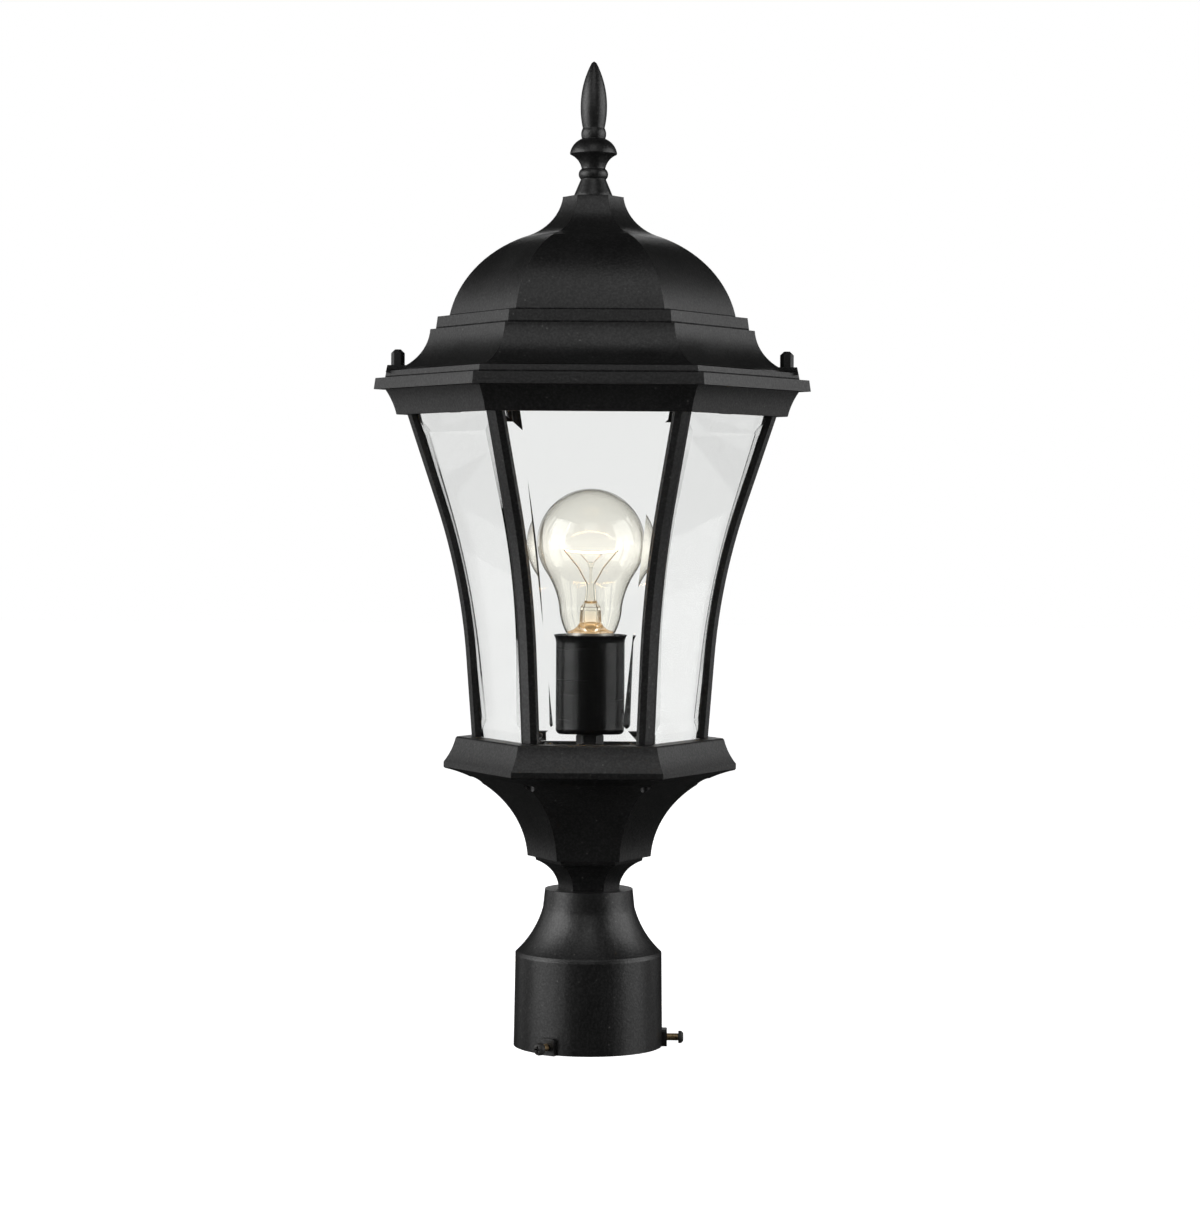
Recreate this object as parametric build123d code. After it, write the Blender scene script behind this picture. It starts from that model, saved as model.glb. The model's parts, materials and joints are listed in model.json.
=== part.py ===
from build123d import *
from math import cos, radians, sin, sqrt, tan
import os

# Post top lantern, millimetres, +Z up.
# Origin: centre of the fitter's lower rim.  Hexagon corners lie on +X and -X, flat sides on +Y and -Y.

COS30 = cos(radians(30.0))
TAN30 = tan(radians(30.0))
SIDES = 6
STEP_ANGLE = 360.0 / SIDES
CORNERS = [i * STEP_ANGLE for i in range(SIDES)]
FLATS = [30.0 + i * STEP_ANGLE for i in range(SIDES)]

# Clearances
SEAT_GAP = 0.3
THREAD_GAP = 0.05
SLIP_GAP = 0.2

# Post fitter
POST_BORE_R = 39.0
POST_BORE_DEPTH = 50.0
FITTER_RIM_R = POST_BORE_R + 2.7
FITTER_SHOULDER_R = POST_BORE_R + 2.0
FITTER_SHOULDER_Z = POST_BORE_DEPTH + 2.1
FITTER_WALL = 3.5
FITTER_BELL_R = 25.7
FITTER_BELL_H = 25.1
FITTER_NECK_H = 10.5
FITTER_BELL_Z = FITTER_SHOULDER_Z + FITTER_BELL_H
FITTER_TOP_R = FITTER_BELL_R - 1.1
FITTER_TOP_Z = FITTER_BELL_Z + FITTER_NECK_H
POST_STOP = 3.0

# Set screws
SET_SCREW_ANGLES = [0.0, 120.0, 240.0]
SET_SCREW_Z = 4.6
SET_SCREW_R = 2.0
SET_SCREW_HEAD_R = 3.5
SET_SCREW_HEAD_T = 2.85
SET_SCREW_EXPOSED = 6.4
PAD_WIDTH = 10.0
PAD_HEIGHT = SET_SCREW_Z + 4.7
PAD_STAND = 2.6
PAD_FACE_R = FITTER_RIM_R + PAD_STAND
PAD_ROUND = 1.5

# Threaded tubes, nuts and washers
TUBE_R = 4.8
TUBE_BORE_R = 3.6
TUBE_NUT_AF = 14.0
TUBE_NUT_T = 6.0
TUBE_WASHER_R = 8.5
TUBE_WASHER_T = 1.5
TUBE_STAND = 3.0

# Machine screws (M3) for ribs, clips and floor plate
M3_R = 1.5
M3_HEAD_R = 2.75
M3_HEAD_T = 2.0
M3_SINK = 1.5

# Ribs
RIB_TOP_R = 103.2
RIB_TOP_Z = 352.6
RIB_TOP_LEAN = 18.4
RIB_FOOT_R = 66.1
RIB_FOOT_LEAN = 4.3
RIB_BEND_R = 355.0
CROWN_HALF = 2.3
FLANK_DROP = 2.27
HEAD_HALF = 5.0
HEAD_DEPTH = 5.1
STEM_HALF = 1.5
STEM_DEPTH = 7.9
SEAT_DEPTH = HEAD_DEPTH - (HEAD_HALF - STEM_HALF) * TAN30
RIB_LUG_H = 12.3
RIB_TAP = 9.5

# Base casting
NECK_R = 17.1
NECK_STRAIGHT = 0.9
BEAD_LOW_R = 29.7
BEAD_LOW_Z = FITTER_TOP_Z + 15.7
BEAD_R = BEAD_LOW_R + 0.7
BEAD_Z = BEAD_LOW_Z + 2.5
WAIST_R = 34.6
BASE_WALL = 3.4
LIP_R = RIB_FOOT_R + 15.9
LIP_Z = BEAD_Z + 48.8
LIP_CHAMFER = 0.7
LIP_FACE_H = 3.6
LEDGE_R = RIB_FOOT_R + 8.4
LEDGE_Z = LIP_Z + 17.8
LEDGE_CHAMFER = 0.8
CAVITY_R = RIB_FOOT_R - 13.0
CAVITY_FLOOR_Z = BEAD_Z + 1.5
CAVITY_BEND_Z = LIP_Z - 9.2
FLOOR_PLATE_R = RIB_FOOT_R - 9.9
FLOOR_PLATE_T = 2.0
FLOOR_DROP = 2.6
FLOOR_TOP_Z = LEDGE_Z - FLOOR_DROP
FLOOR_EDGE_GAP = 0.4
REBATE_DEPTH = 1.0
FLOOR_SCREW_ANGLES = [60.0, 120.0, 240.0, 300.0]
FLOOR_SCREW_R = FLOOR_PLATE_R - 7.2
FLOOR_BOSS_R = 3.6
FLOOR_BOSS_H = 11.8
FLOOR_TAP = 9.8
RIB_SCREW_SEAT_Z = LEDGE_Z - 10.5

# Glass panes
GLASS_T = 3.2
GLASS_INSET = 1.6
GLASS_BEVEL = 11.5
GLASS_BEVEL_DROP = 1.25
GLASS_EDGE_GAP = STEM_HALF + SEAT_GAP
GLASS_FOOT_Z = LEDGE_Z - REBATE_DEPTH + 0.1
GLASS_HEAD_Z = RIB_TOP_Z + 1.0
GLASS_SIDE_BEVEL = 10.7

# Top ring
SKIRT_R = RIB_TOP_R + 6.2
BRIM_R = SKIRT_R + 12.9
BRIM_TOP_R = BRIM_R - 0.9
BRIM_UNDER_R = BRIM_R - 6.4
BRIM_Z = RIB_TOP_Z + 14.1
RING_TOP_Z = BRIM_Z + 6.3
RING_FLANGE_T = 3.5
RING_OPENING_R = RIB_TOP_R - 6.7
SKIRT_CLEAR = 2.0
CLIP_T = 1.2
CLIP_GAP = 0.6
CLIP_WIDTH = 12.0
CLIP_SCREW_REACH = 3.9
CLIP_SCREW_HEAD_R = 2.5
CLIP_SCREW_HEAD_T = 1.7

# Roof
ROOF_FLANGE_R = BRIM_R - 6.3
ROOF_Z = RING_TOP_Z + SEAT_GAP
ROOF_FLANGE_T = 3.7
ROOF_FLANGE_TOP_Z = ROOF_Z + ROOF_FLANGE_T
ROOF_OPENING_R = ROOF_FLANGE_R - 14.5
ROOF_WALL = 2.2
ROOF_CEILING = 2.5
COVE_R = ROOF_FLANGE_R - 4.0
COVE_H = 23.5
BAND_R = ROOF_FLANGE_R - 25.2
BAND_Z = ROOF_FLANGE_TOP_Z + COVE_H
BAND_STEP = 3.1
BAND_DRAFT = 1.0
BAND_H = 7.1
DOME_R = BAND_R - 10.6
DOME_Z = BAND_Z + BAND_H
DOME_H = 44.9
OGEE_Z = DOME_Z + DOME_H
OGEE_H = 21.1
ROOF_TOP_R = 17.1
OGEE_SHARE = 0.33122
OGEE_R = ROOF_TOP_R + OGEE_SHARE * (DOME_R - ROOF_TOP_R)
ROOF_TOP_Z = OGEE_Z + OGEE_H + 1.1
ROOF_WEB = 12.7
ROOF_WEB_Z = ROOF_TOP_Z - ROOF_WEB
NUT_R = ROOF_FLANGE_R - 7.2
BOSS_H = 3.1
BOSS_TOP_Z = ROOF_FLANGE_TOP_Z + BOSS_H
BOSS_OUTER_R = NUT_R + 5.5
BOSS_LENGTH = 14.3
BOSS_WIDTH = 11.0

# Cap nuts and studs
CAP_NUT_CORNER_R = 3.85
CAP_NUT_H = 8.9
CAP_NUT_CHAMFER = 2.2
CAP_NUT_TIP_R = 1.7
CAP_NUT_TAP = 7.2
ROOF_STUD_R = 2.0
CAP_NUTS = [("cap_nut_left", 180.0), ("cap_nut_right", 0.0)]

# Finial (radius, height above the roof)
FINIAL_BASE_R = 10.7
FINIAL_RING = [(7.0, 9.8), (6.6, 15.7)]
FINIAL_CUP = (13.0, 23.7)
FINIAL_NECK = (6.5, 32.5)
FINIAL_COLLAR = (6.1, 38.4)
FINIAL_BELLY = (7.4, 49.6)
FINIAL_TIP = (1.4, 74.7)
FINIAL_H = 75.7
FINIAL_STUD_R = 2.5
FINIAL_TAP = 12.5
FINIAL_NUT_AF = 8.0
FINIAL_NUT_T = 4.0
FINIAL_WASHER_R = 5.0
FINIAL_WASHER_T = 1.3

# Lamp socket
CUP_R = 19.2
CUP_FLARE = 1.4
CUP_FOOT_ROUND = 3.0
CUP_FLARE_H = 4.5
CUP_WALL = 0.9
CUP_BOTTOM_Z = FLOOR_TOP_Z + TUBE_WASHER_T + TUBE_NUT_T
CUP_H = 52.8
CUP_RIM_Z = CUP_BOTTOM_Z + CUP_H
CORE_LIFT = 6.5
CORE_DROP = 1.5
SHELL_BORE_R = 13.35
SHELL_T = 0.45
LEAF_T = 0.6

# Lamp bulb
BULB_R = 30.1
BULB_WALL = 0.6
BULB_NECK_Z = CUP_RIM_Z + 1.1
BULB_RISE = 50.7
BULB_Z = BULB_NECK_Z + BULB_RISE
BULB_FOOT_R = 13.7
BULB_HIP = (17.6, 15.2)
BULB_FLARE = (20.5, 25.5)
BULB_JOIN_ANGLE = 32.0
BULB_BASE_R = 13.1
BULB_BASE_L = 27.0
THREAD_PITCH = 3.63
THREAD_TURNS = 5
THREAD_DEPTH = 0.8
BULB_SHELL_T = 0.5
BULB_CONTACT_R = 2.3
STEM_TUBE_R = 5.6
STEM_TUBE_TOP = 14.3
STEM_PRESS_R = 3.4
STEM_PRESS_TOP = 27.5
STEM_BORE_R = 4.0
STEM_BORE_TOP = 12.5
STEM_POST_R = 0.9
STEM_BUTTON_R = 1.9
STEM_BUTTON_TOP = 38.0
LEAD_R = 0.35
LEAD_KNEE = (7.0, 36.5)
HOOK_R = 0.2
HOOK_TIP = (6.0, 1.3)
FILAMENT_R = 0.5
FILAMENT_HALF = 15.0
FILAMENT_UP = 46.2
FILAMENT_SAG = 1.2

STANDING = (Align.CENTER, Align.CENTER, Align.MIN)
HANGING = (Align.CENTER, Align.CENTER, Align.MAX)

os.makedirs("parts", exist_ok=True)


def save(name, shape):
    export_step(shape, f"parts/{name}.step")


def group(solids):
    return Compound(children=list(solids))


def around(shape, angles):
    return [Rot(0, 0, angle) * shape for angle in angles]


def at_flat(radius, z):
    """Point of a corner outline seen at right angles to a flat side."""
    return (radius * COS30, 0, z)


def bowed(a, b, bow):
    """Arc between two points.  Its height is a share of the chord, positive to the left on the way."""
    middle = ((a[0] + b[0]) / 2 - bow * (b[2] - a[2]), 0, (a[2] + b[2]) / 2 + bow * (b[0] - a[0]))
    return ThreePointArc(a, middle, b)


def arc(a, b, bow):
    return bowed(at_flat(*a), at_flat(*b), bow)


def line(*points):
    return Polyline([at_flat(*p) for p in points])


def closed_on_axis(edges):
    """Face between an outline and the axis."""
    start = edges[0] @ 0
    end = edges[-1] @ 1
    closing = [Line((0, 0, end.Z), (0, 0, start.Z))]
    if start.X > 1e-6:
        closing.append(Line((0, 0, start.Z), start))
    if end.X > 1e-6:
        closing.append(Line(end, (0, 0, end.Z)))
    return make_face([*edges, *closing])


def hexagonal(*edges):
    """Six-sided turning: the half outline, given at the corner radius, on all six sides."""
    half = closed_on_axis(edges)
    slab = extrude(half + mirror(half, about=Plane.YZ), amount=200, both=True)
    solid = slab
    for angle in (STEP_ANGLE, 2 * STEP_ANGLE):
        solid = solid & Rot(0, 0, angle) * slab
    return Rot(0, 0, 90) * solid


def turned(*edges):
    """Round turning of a half outline closed along the axis."""
    return revolve(closed_on_axis(edges), Axis.Z)


def pt(radius, z):
    return (radius, 0, z)


def round_arc(a, b, bow):
    return bowed(pt(*a), pt(*b), bow)


def round_line(*points):
    return Polyline([pt(*p) for p in points])


def rod(radius, z_low, z_high):
    return Pos(0, 0, z_low) * Cylinder(radius, z_high - z_low, align=STANDING)


def tube(outer, inner, z_low, z_high):
    return rod(outer, z_low, z_high) - rod(inner, z_low - 1, z_high + 1)


def hex_prism(across_flats, z_low, z_high):
    outline = RegularPolygon(across_flats / 2, 6, major_radius=False)
    return Pos(0, 0, z_low) * extrude(outline, z_high - z_low)


def box(x_low, x_high, width, z_low, z_high):
    """Block lying on the +X side."""
    size = Box(x_high - x_low, width, z_high - z_low, align=(Align.MIN, Align.CENTER, Align.MIN))
    return Pos(x_low, 0, z_low) * size


def hex_nut(across_flats, thread_r, z_low, z_high):
    chamfer_r = across_flats / 2 * 1.08
    blank = hex_prism(across_flats, z_low, z_high)
    height = z_high - z_low
    trim = turned(
        round_line(
            (across_flats / 2 * 0.98, z_low),
            (chamfer_r + 0.2, z_low + height * 0.12),
            (chamfer_r + 0.2, z_high - height * 0.12),
            (across_flats / 2 * 0.98, z_high),
        )
    )
    return (blank & trim) - rod(thread_r + THREAD_GAP, z_low - 1, z_high + 1)


def lock_washer(outer, inner, z_low, z_high):
    ring = tube(outer, inner + THREAD_GAP, z_low, z_high)
    return ring - Rot(0, 0, 20) * box(inner - 1, outer + 1, 0.8, z_low - 1, z_high + 1)


def pan_screw(shank_r, head_r, head_t, length):
    """Pan head screw with a cross recess, head upwards, shank below z = 0."""
    head = turned(
        round_line((head_r, 0), (head_r, head_t * 0.35)),
        round_arc((head_r, head_t * 0.35), (head_r * 0.5, head_t), -0.17),
    )
    recess = Box(head_r * 1.1, head_r * 0.28, head_t * 1.2)
    recess = recess + Rot(0, 0, 90) * recess
    shank = rod(shank_r, -length, 0)
    tip = Pos(0, 0, -length) * Cone(shank_r * 2, shank_r * 0.7, shank_r * 1.3, align=HANGING)
    return (head - Pos(0, 0, head_t) * recess) + (shank - tip)


# ---- curved rib line -------------------------------------------------------------------------

def rib_bend():
    """Tangent points and middle of the bend in the rib line, as (radius, z)."""
    up = tan(radians(RIB_TOP_LEAN))
    low = tan(radians(RIB_FOOT_LEAN))
    z = (RIB_TOP_R - RIB_FOOT_R - up * RIB_TOP_Z + low * LEDGE_Z) / (low - up)
    r = RIB_TOP_R - up * (RIB_TOP_Z - z)
    turn = radians(RIB_TOP_LEAN - RIB_FOOT_LEAN)
    reach = RIB_BEND_R * tan(turn / 2)
    upper = (r + reach * sin(radians(RIB_TOP_LEAN)), z + reach * cos(radians(RIB_TOP_LEAN)))
    lower = (r - reach * sin(radians(RIB_FOOT_LEAN)), z - reach * cos(radians(RIB_FOOT_LEAN)))
    centre = (
        lower[0] + RIB_BEND_R * cos(radians(RIB_FOOT_LEAN)),
        lower[1] - RIB_BEND_R * sin(radians(RIB_FOOT_LEAN)),
    )
    return lower, upper, centre


def crown_radius(z):
    """Corner radius of the rib's outer face at a height."""
    lower, upper, centre = rib_bend()
    if z >= upper[1]:
        return RIB_TOP_R - tan(radians(RIB_TOP_LEAN)) * (RIB_TOP_Z - z)
    if z <= lower[1]:
        return RIB_FOOT_R + tan(radians(RIB_FOOT_LEAN)) * (z - LEDGE_Z)
    return centre[0] - sqrt(RIB_BEND_R**2 - (z - centre[1]) ** 2)


def rib_path():
    lower, upper, centre = rib_bend()
    middle_z = (lower[1] + upper[1]) / 2
    z_low = LEDGE_Z - 10
    z_high = RING_TOP_Z + 8
    foot = Line(pt(crown_radius(z_low), z_low), pt(*lower))
    bend = ThreePointArc(pt(*lower), pt(crown_radius(middle_z), middle_z), pt(*upper))
    head = Line(pt(*upper), pt(crown_radius(z_high), z_high))
    return Wire([foot, bend, head])


def rib():
    half = [
        (0, CROWN_HALF),
        (-FLANK_DROP, HEAD_HALF),
        (-HEAD_DEPTH, HEAD_HALF),
        (-SEAT_DEPTH, STEM_HALF),
        (-STEM_DEPTH, STEM_HALF),
    ]
    outline = half + [(u, -v) for u, v in reversed(half)]
    path = rib_path()
    lean = radians(RIB_FOOT_LEAN)
    section_plane = Plane(
        origin=path @ 0,
        x_dir=(cos(lean), 0, -sin(lean)),
        z_dir=(sin(lean), 0, cos(lean)),
    )
    section = section_plane * make_face(Polyline(outline, close=True))
    bar = sweep(section, path=path)
    top_z = RING_TOP_Z - RING_FLANGE_T - SLIP_GAP
    kept = box(RIB_FOOT_R / 3, 2 * RIB_TOP_R, 8 * HEAD_HALF, LEDGE_Z + SLIP_GAP, top_z)
    lug_z = top_z - RIB_LUG_H
    lug_r = crown_radius(lug_z)
    depth = STEM_DEPTH / cos(radians(RIB_TOP_LEAN))
    lug = box(lug_r - depth, lug_r - 1.0, 2 * HEAD_HALF, lug_z, top_z)
    body = (bar & kept) + lug
    tap = M3_R + THREAD_GAP
    body = body - Pos(lower_screw_r(), 0, 0) * rod(tap, LEDGE_Z - 1, LEDGE_Z + RIB_TAP + 3)
    return body - Pos(upper_screw_r(), 0, 0) * rod(tap, top_z - RIB_TAP, top_z + 1)


def lower_screw_r():
    return RIB_FOOT_R - HEAD_DEPTH / 2


def upper_screw_r():
    return RIB_TOP_R - M3_SINK / 8


# ---- fitter and its screws -------------------------------------------------------------------

def fitter_collar():
    shoulder = (FITTER_SHOULDER_R, FITTER_SHOULDER_Z)
    bell = (FITTER_BELL_R, FITTER_BELL_Z)
    outer = turned(
        round_line((FITTER_RIM_R, 0), shoulder),
        round_arc(shoulder, bell, 0.0706),
        round_line(bell, (FITTER_TOP_R, FITTER_TOP_Z)),
    )
    stop = (POST_BORE_R - POST_STOP, POST_BORE_DEPTH)
    throat = (FITTER_BELL_R - FITTER_WALL, FITTER_BELL_Z - 1.4)
    inner = turned(
        round_line((POST_BORE_R, 0), (POST_BORE_R, POST_BORE_DEPTH), stop),
        round_arc(stop, throat, 0.0542),
        round_line(throat, (FITTER_TOP_R - FITTER_WALL, FITTER_TOP_Z - FITTER_WALL)),
    )
    pads = box(FITTER_RIM_R - PAD_STAND, PAD_FACE_R, PAD_WIDTH, 0, PAD_HEIGHT)
    pads = fillet(pads.edges().filter_by(Axis.X).group_by(Axis.Z)[-1], PAD_ROUND)
    body = outer
    for pad in around(pads, SET_SCREW_ANGLES):
        body = body + pad
    body = body - inner - rod(TUBE_R + SLIP_GAP, FITTER_TOP_Z - 2 * FITTER_WALL, FITTER_TOP_Z + 1)
    thread = rod(SET_SCREW_R + THREAD_GAP, POST_BORE_R - 5, PAD_FACE_R + 5)
    drill = Pos(0, 0, SET_SCREW_Z) * Rot(0, 90, 0) * thread
    for hole in around(drill, SET_SCREW_ANGLES):
        body = body - hole
    return body


def set_screw(angle):
    head_r = PAD_FACE_R + SET_SCREW_EXPOSED
    screw = pan_screw(SET_SCREW_R, SET_SCREW_HEAD_R, SET_SCREW_HEAD_T, head_r - POST_BORE_R - 0.1)
    return Rot(0, 0, angle) * Pos(head_r, 0, SET_SCREW_Z) * Rot(0, 90, 0) * screw


# ---- base casting ----------------------------------------------------------------------------

def base_casting():
    neck = (NECK_R, FITTER_TOP_Z + NECK_STRAIGHT)
    bead = (BEAD_LOW_R, BEAD_LOW_Z)
    waist = (WAIST_R, BEAD_Z)
    under_lip = (LIP_R - LIP_CHAMFER, LIP_Z)
    lip_top = (LIP_R, LIP_Z + LIP_FACE_H)
    ledge_edge = (LEDGE_R + LEDGE_CHAMFER, LEDGE_Z - LEDGE_CHAMFER)
    outer = hexagonal(
        line((NECK_R, FITTER_TOP_Z), neck),
        arc(neck, bead, 0.1452),
        line(bead, (BEAD_R, BEAD_Z), waist),
        arc(waist, under_lip, 0.1641),
        line(under_lip, (LIP_R, LIP_Z + LIP_CHAMFER), lip_top),
        arc(lip_top, ledge_edge, 0.0507),
        line(ledge_edge, (LEDGE_R, LEDGE_Z)),
    )
    pocket_z = FLOOR_TOP_Z - FLOOR_PLATE_T - 0.1
    well = (WAIST_R - BASE_WALL, CAVITY_FLOOR_Z)
    bend = (CAVITY_R, CAVITY_BEND_Z)
    cavity = hexagonal(
        line((0, CAVITY_FLOOR_Z), well),
        arc(well, bend, 0.0898),
        line(bend, (CAVITY_R, pocket_z + 1)),
    )
    pocket_r = FLOOR_PLATE_R + FLOOR_EDGE_GAP
    pocket = hexagonal(line((pocket_r, pocket_z), (pocket_r, LEDGE_Z + 1)))
    body = outer - cavity - pocket - rod(TUBE_R + SLIP_GAP, FITTER_TOP_Z - 1, CAVITY_FLOOR_Z + 1)
    slot_low = glass_face(GLASS_FOOT_Z) - GLASS_T - 0.5
    slot_high = glass_face(GLASS_FOOT_Z) - GLASS_BEVEL_DROP + 0.7
    slot_width = 2 * glass_half_width(slot_high) + 0.4
    slot = box(slot_low, slot_high, slot_width, LEDGE_Z - REBATE_DEPTH, LEDGE_Z + 1)
    for cut in around(slot, FLATS):
        body = body - cut
    screw_hole = rod(M3_R + SLIP_GAP, RIB_SCREW_SEAT_Z - 1, LEDGE_Z + 1)
    screw_hole = screw_hole + rod(M3_HEAD_R + 0.5, CAVITY_FLOOR_Z, RIB_SCREW_SEAT_Z)
    for cut in around(Pos(lower_screw_r(), 0, 0) * screw_hole, CORNERS):
        body = body - cut
    boss = Pos(FLOOR_SCREW_R, 0, 0) * rod(FLOOR_BOSS_R, pocket_z - FLOOR_BOSS_H, pocket_z)
    web = box(FLOOR_SCREW_R, CAVITY_R - 1, 2 * FLOOR_BOSS_R, pocket_z - FLOOR_BOSS_H, pocket_z)
    tap = Pos(FLOOR_SCREW_R, 0, 0) * rod(M3_R + THREAD_GAP, pocket_z - FLOOR_TAP, LEDGE_Z)
    for angle in FLOOR_SCREW_ANGLES:
        body = body + Rot(0, 0, angle) * (boss + web) - Rot(0, 0, angle) * tap
    return body


def floor_plate():
    low = FLOOR_TOP_Z - FLOOR_PLATE_T
    plate = hexagonal(line((FLOOR_PLATE_R, low), (FLOOR_PLATE_R, FLOOR_TOP_Z)))
    plate = plate - rod(TUBE_R + SLIP_GAP, low - 1, FLOOR_TOP_Z + 1)
    for angle in FLOOR_SCREW_ANGLES:
        hole = rod(M3_R + SLIP_GAP, low - 1, FLOOR_TOP_Z + 1)
        plate = plate - Rot(0, 0, angle) * Pos(FLOOR_SCREW_R, 0, 0) * hole
    return plate


def floor_plate_screws():
    screw = Pos(FLOOR_SCREW_R, 0, FLOOR_TOP_Z) * pan_screw(M3_R, M3_HEAD_R, M3_HEAD_T, FLOOR_PLATE_T + 7.0)
    return group(around(screw, FLOOR_SCREW_ANGLES))


# ---- threaded tubes ---------------------------------------------------------------------------

def neck_tube_set():
    """Tube clamping the base casting down on the fitter, with its nuts and washers."""
    under = FITTER_TOP_Z - FITTER_WALL
    over = CAVITY_FLOOR_Z
    reach = TUBE_WASHER_T + TUBE_NUT_T + TUBE_STAND
    save("neck_tube", tube(TUBE_R, TUBE_BORE_R, under - reach, over + reach))
    save("neck_washer_lower", tube(TUBE_WASHER_R, TUBE_R + SLIP_GAP, under - TUBE_WASHER_T, under))
    low = under - TUBE_WASHER_T
    save("neck_nut_lower", hex_nut(TUBE_NUT_AF, TUBE_R, low - TUBE_NUT_T, low))
    save("neck_washer_upper", tube(TUBE_WASHER_R, TUBE_R + SLIP_GAP, over, over + TUBE_WASHER_T))
    high = over + TUBE_WASHER_T
    save("neck_nut_upper", hex_nut(TUBE_NUT_AF, TUBE_R, high, high + TUBE_NUT_T))


def socket_tube_set():
    """Tube carrying the socket on the floor plate, with a nut above and a nut below the plate."""
    low = FLOOR_TOP_Z - FLOOR_PLATE_T
    foot_z = low - TUBE_NUT_T - TUBE_STAND
    save("socket_tube", tube(TUBE_R, TUBE_BORE_R, foot_z, CUP_BOTTOM_Z + CORE_LIFT - 0.5))
    save("socket_lock_washer", lock_washer(TUBE_WASHER_R, TUBE_R, FLOOR_TOP_Z, FLOOR_TOP_Z + TUBE_WASHER_T))
    save("socket_nut_upper", hex_nut(TUBE_NUT_AF, TUBE_R, FLOOR_TOP_Z + TUBE_WASHER_T, CUP_BOTTOM_Z))
    save("socket_nut_lower", hex_nut(TUBE_NUT_AF, TUBE_R, low - TUBE_NUT_T, low))


# ---- lamp socket ------------------------------------------------------------------------------

def socket_cup():
    bottom = CUP_BOTTOM_Z
    foot = (CUP_R - CUP_FOOT_ROUND, bottom)
    side = (CUP_R, bottom + CUP_FOOT_ROUND)
    flare = (CUP_R, CUP_RIM_Z - CUP_FLARE_H)
    rim = (CUP_R + CUP_FLARE, CUP_RIM_Z)
    outer = turned(round_arc(foot, side, -0.2067), round_line(side, flare), round_arc(flare, rim, 0.0667))
    inner_r = CUP_R - CUP_WALL
    inner = turned(
        round_line((foot[0] - CUP_WALL, bottom + CUP_WALL), (inner_r, side[1] + CUP_WALL)),
        round_line(
            (inner_r, side[1] + CUP_WALL),
            (inner_r, flare[1] + 0.5),
            (rim[0] - CUP_WALL - SEAT_GAP, CUP_RIM_Z),
        ),
    )
    return outer - inner - rod(TUBE_R + THREAD_GAP, bottom - 1, bottom + 5)


def bulb_seat_z():
    """Floor of the socket's bore, under the centre contact."""
    return BULB_NECK_Z - BULB_BASE_L - 3.2


def socket_insulator():
    wall = CUP_R - CUP_WALL - SEAT_GAP
    body = rod(wall, CUP_BOTTOM_Z + CORE_LIFT, CUP_RIM_Z - CORE_DROP)
    return body - rod(SHELL_BORE_R + SHELL_T + 0.15, bulb_seat_z(), CUP_RIM_Z + 5)


def socket_screw_shell():
    low = BULB_NECK_Z - BULB_BASE_L + 1.0
    return tube(SHELL_BORE_R + SHELL_T, SHELL_BORE_R, low, CUP_RIM_Z - CORE_DROP)


def socket_center_contact():
    low = bulb_seat_z() + 0.1
    leaf = Pos(0, 0, low) * Box(1.2 * SHELL_BORE_R, 6, LEAF_T, align=STANDING)
    return leaf + rod(BULB_CONTACT_R + SEAT_GAP, low, BULB_NECK_Z - BULB_BASE_L - SEAT_GAP)


# ---- lamp bulb --------------------------------------------------------------------------------

def bulb_outline(inset):
    """Outline of the glass from its foot to the crown, moved inwards by the wall."""
    r = BULB_R - inset
    foot = pt(BULB_FOOT_R - 0.9 * inset, BULB_NECK_Z)
    hip = pt(BULB_HIP[0] - inset, BULB_NECK_Z + BULB_HIP[1])
    swell = pt(BULB_FLARE[0] - inset, BULB_NECK_Z + BULB_FLARE[1])
    turn = radians(-BULB_JOIN_ANGLE)
    join = pt(r * cos(turn), BULB_Z + r * sin(turn))
    shoulder = radians(25.0)
    dome = ThreePointArc(join, pt(r * cos(shoulder), BULB_Z + r * sin(shoulder)), (0, 0, BULB_Z + r))
    return bowed(foot, hip, -0.0544), ThreePointArc(hip, swell, join), dome


def bulb_envelope():
    return turned(*bulb_outline(0.0)) - turned(*bulb_outline(BULB_WALL))


def bulb_base_shell():
    top = BULB_NECK_Z - 0.1
    low = BULB_NECK_Z - BULB_BASE_L + 3.0
    root = BULB_BASE_R - THREAD_DEPTH
    z = low + 2.0
    edges = [round_line((root - 2.8, low), (root, z))]
    for _ in range(THREAD_TURNS):
        edges.append(round_arc((root, z), (root, z + THREAD_PITCH), -THREAD_DEPTH / THREAD_PITCH))
        z += THREAD_PITCH
    edges.append(round_line((root, z), (BULB_BASE_R, z + 1.0), (BULB_BASE_R, top)))
    bore = root - BULB_SHELL_T
    return turned(*edges) - rod(bore, low + 2.5, top + 1) - rod(bore - 6.8, low - 1, low + 4)


def bulb_base_insulator():
    low = BULB_NECK_Z - BULB_BASE_L + 0.8
    top = BULB_NECK_Z - BULB_BASE_L + 3.0
    root = BULB_BASE_R - THREAD_DEPTH
    body = turned(round_line((root - 7.1, low), (root - 2.9, top)))
    return body - rod(BULB_CONTACT_R + 0.1, low - 1, top + 1)


def bulb_base_contact():
    low = BULB_NECK_Z - BULB_BASE_L
    return rod(BULB_CONTACT_R, low, low + 4.5) + rod(BULB_CONTACT_R + 1.1, low, low + 0.7)


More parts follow.
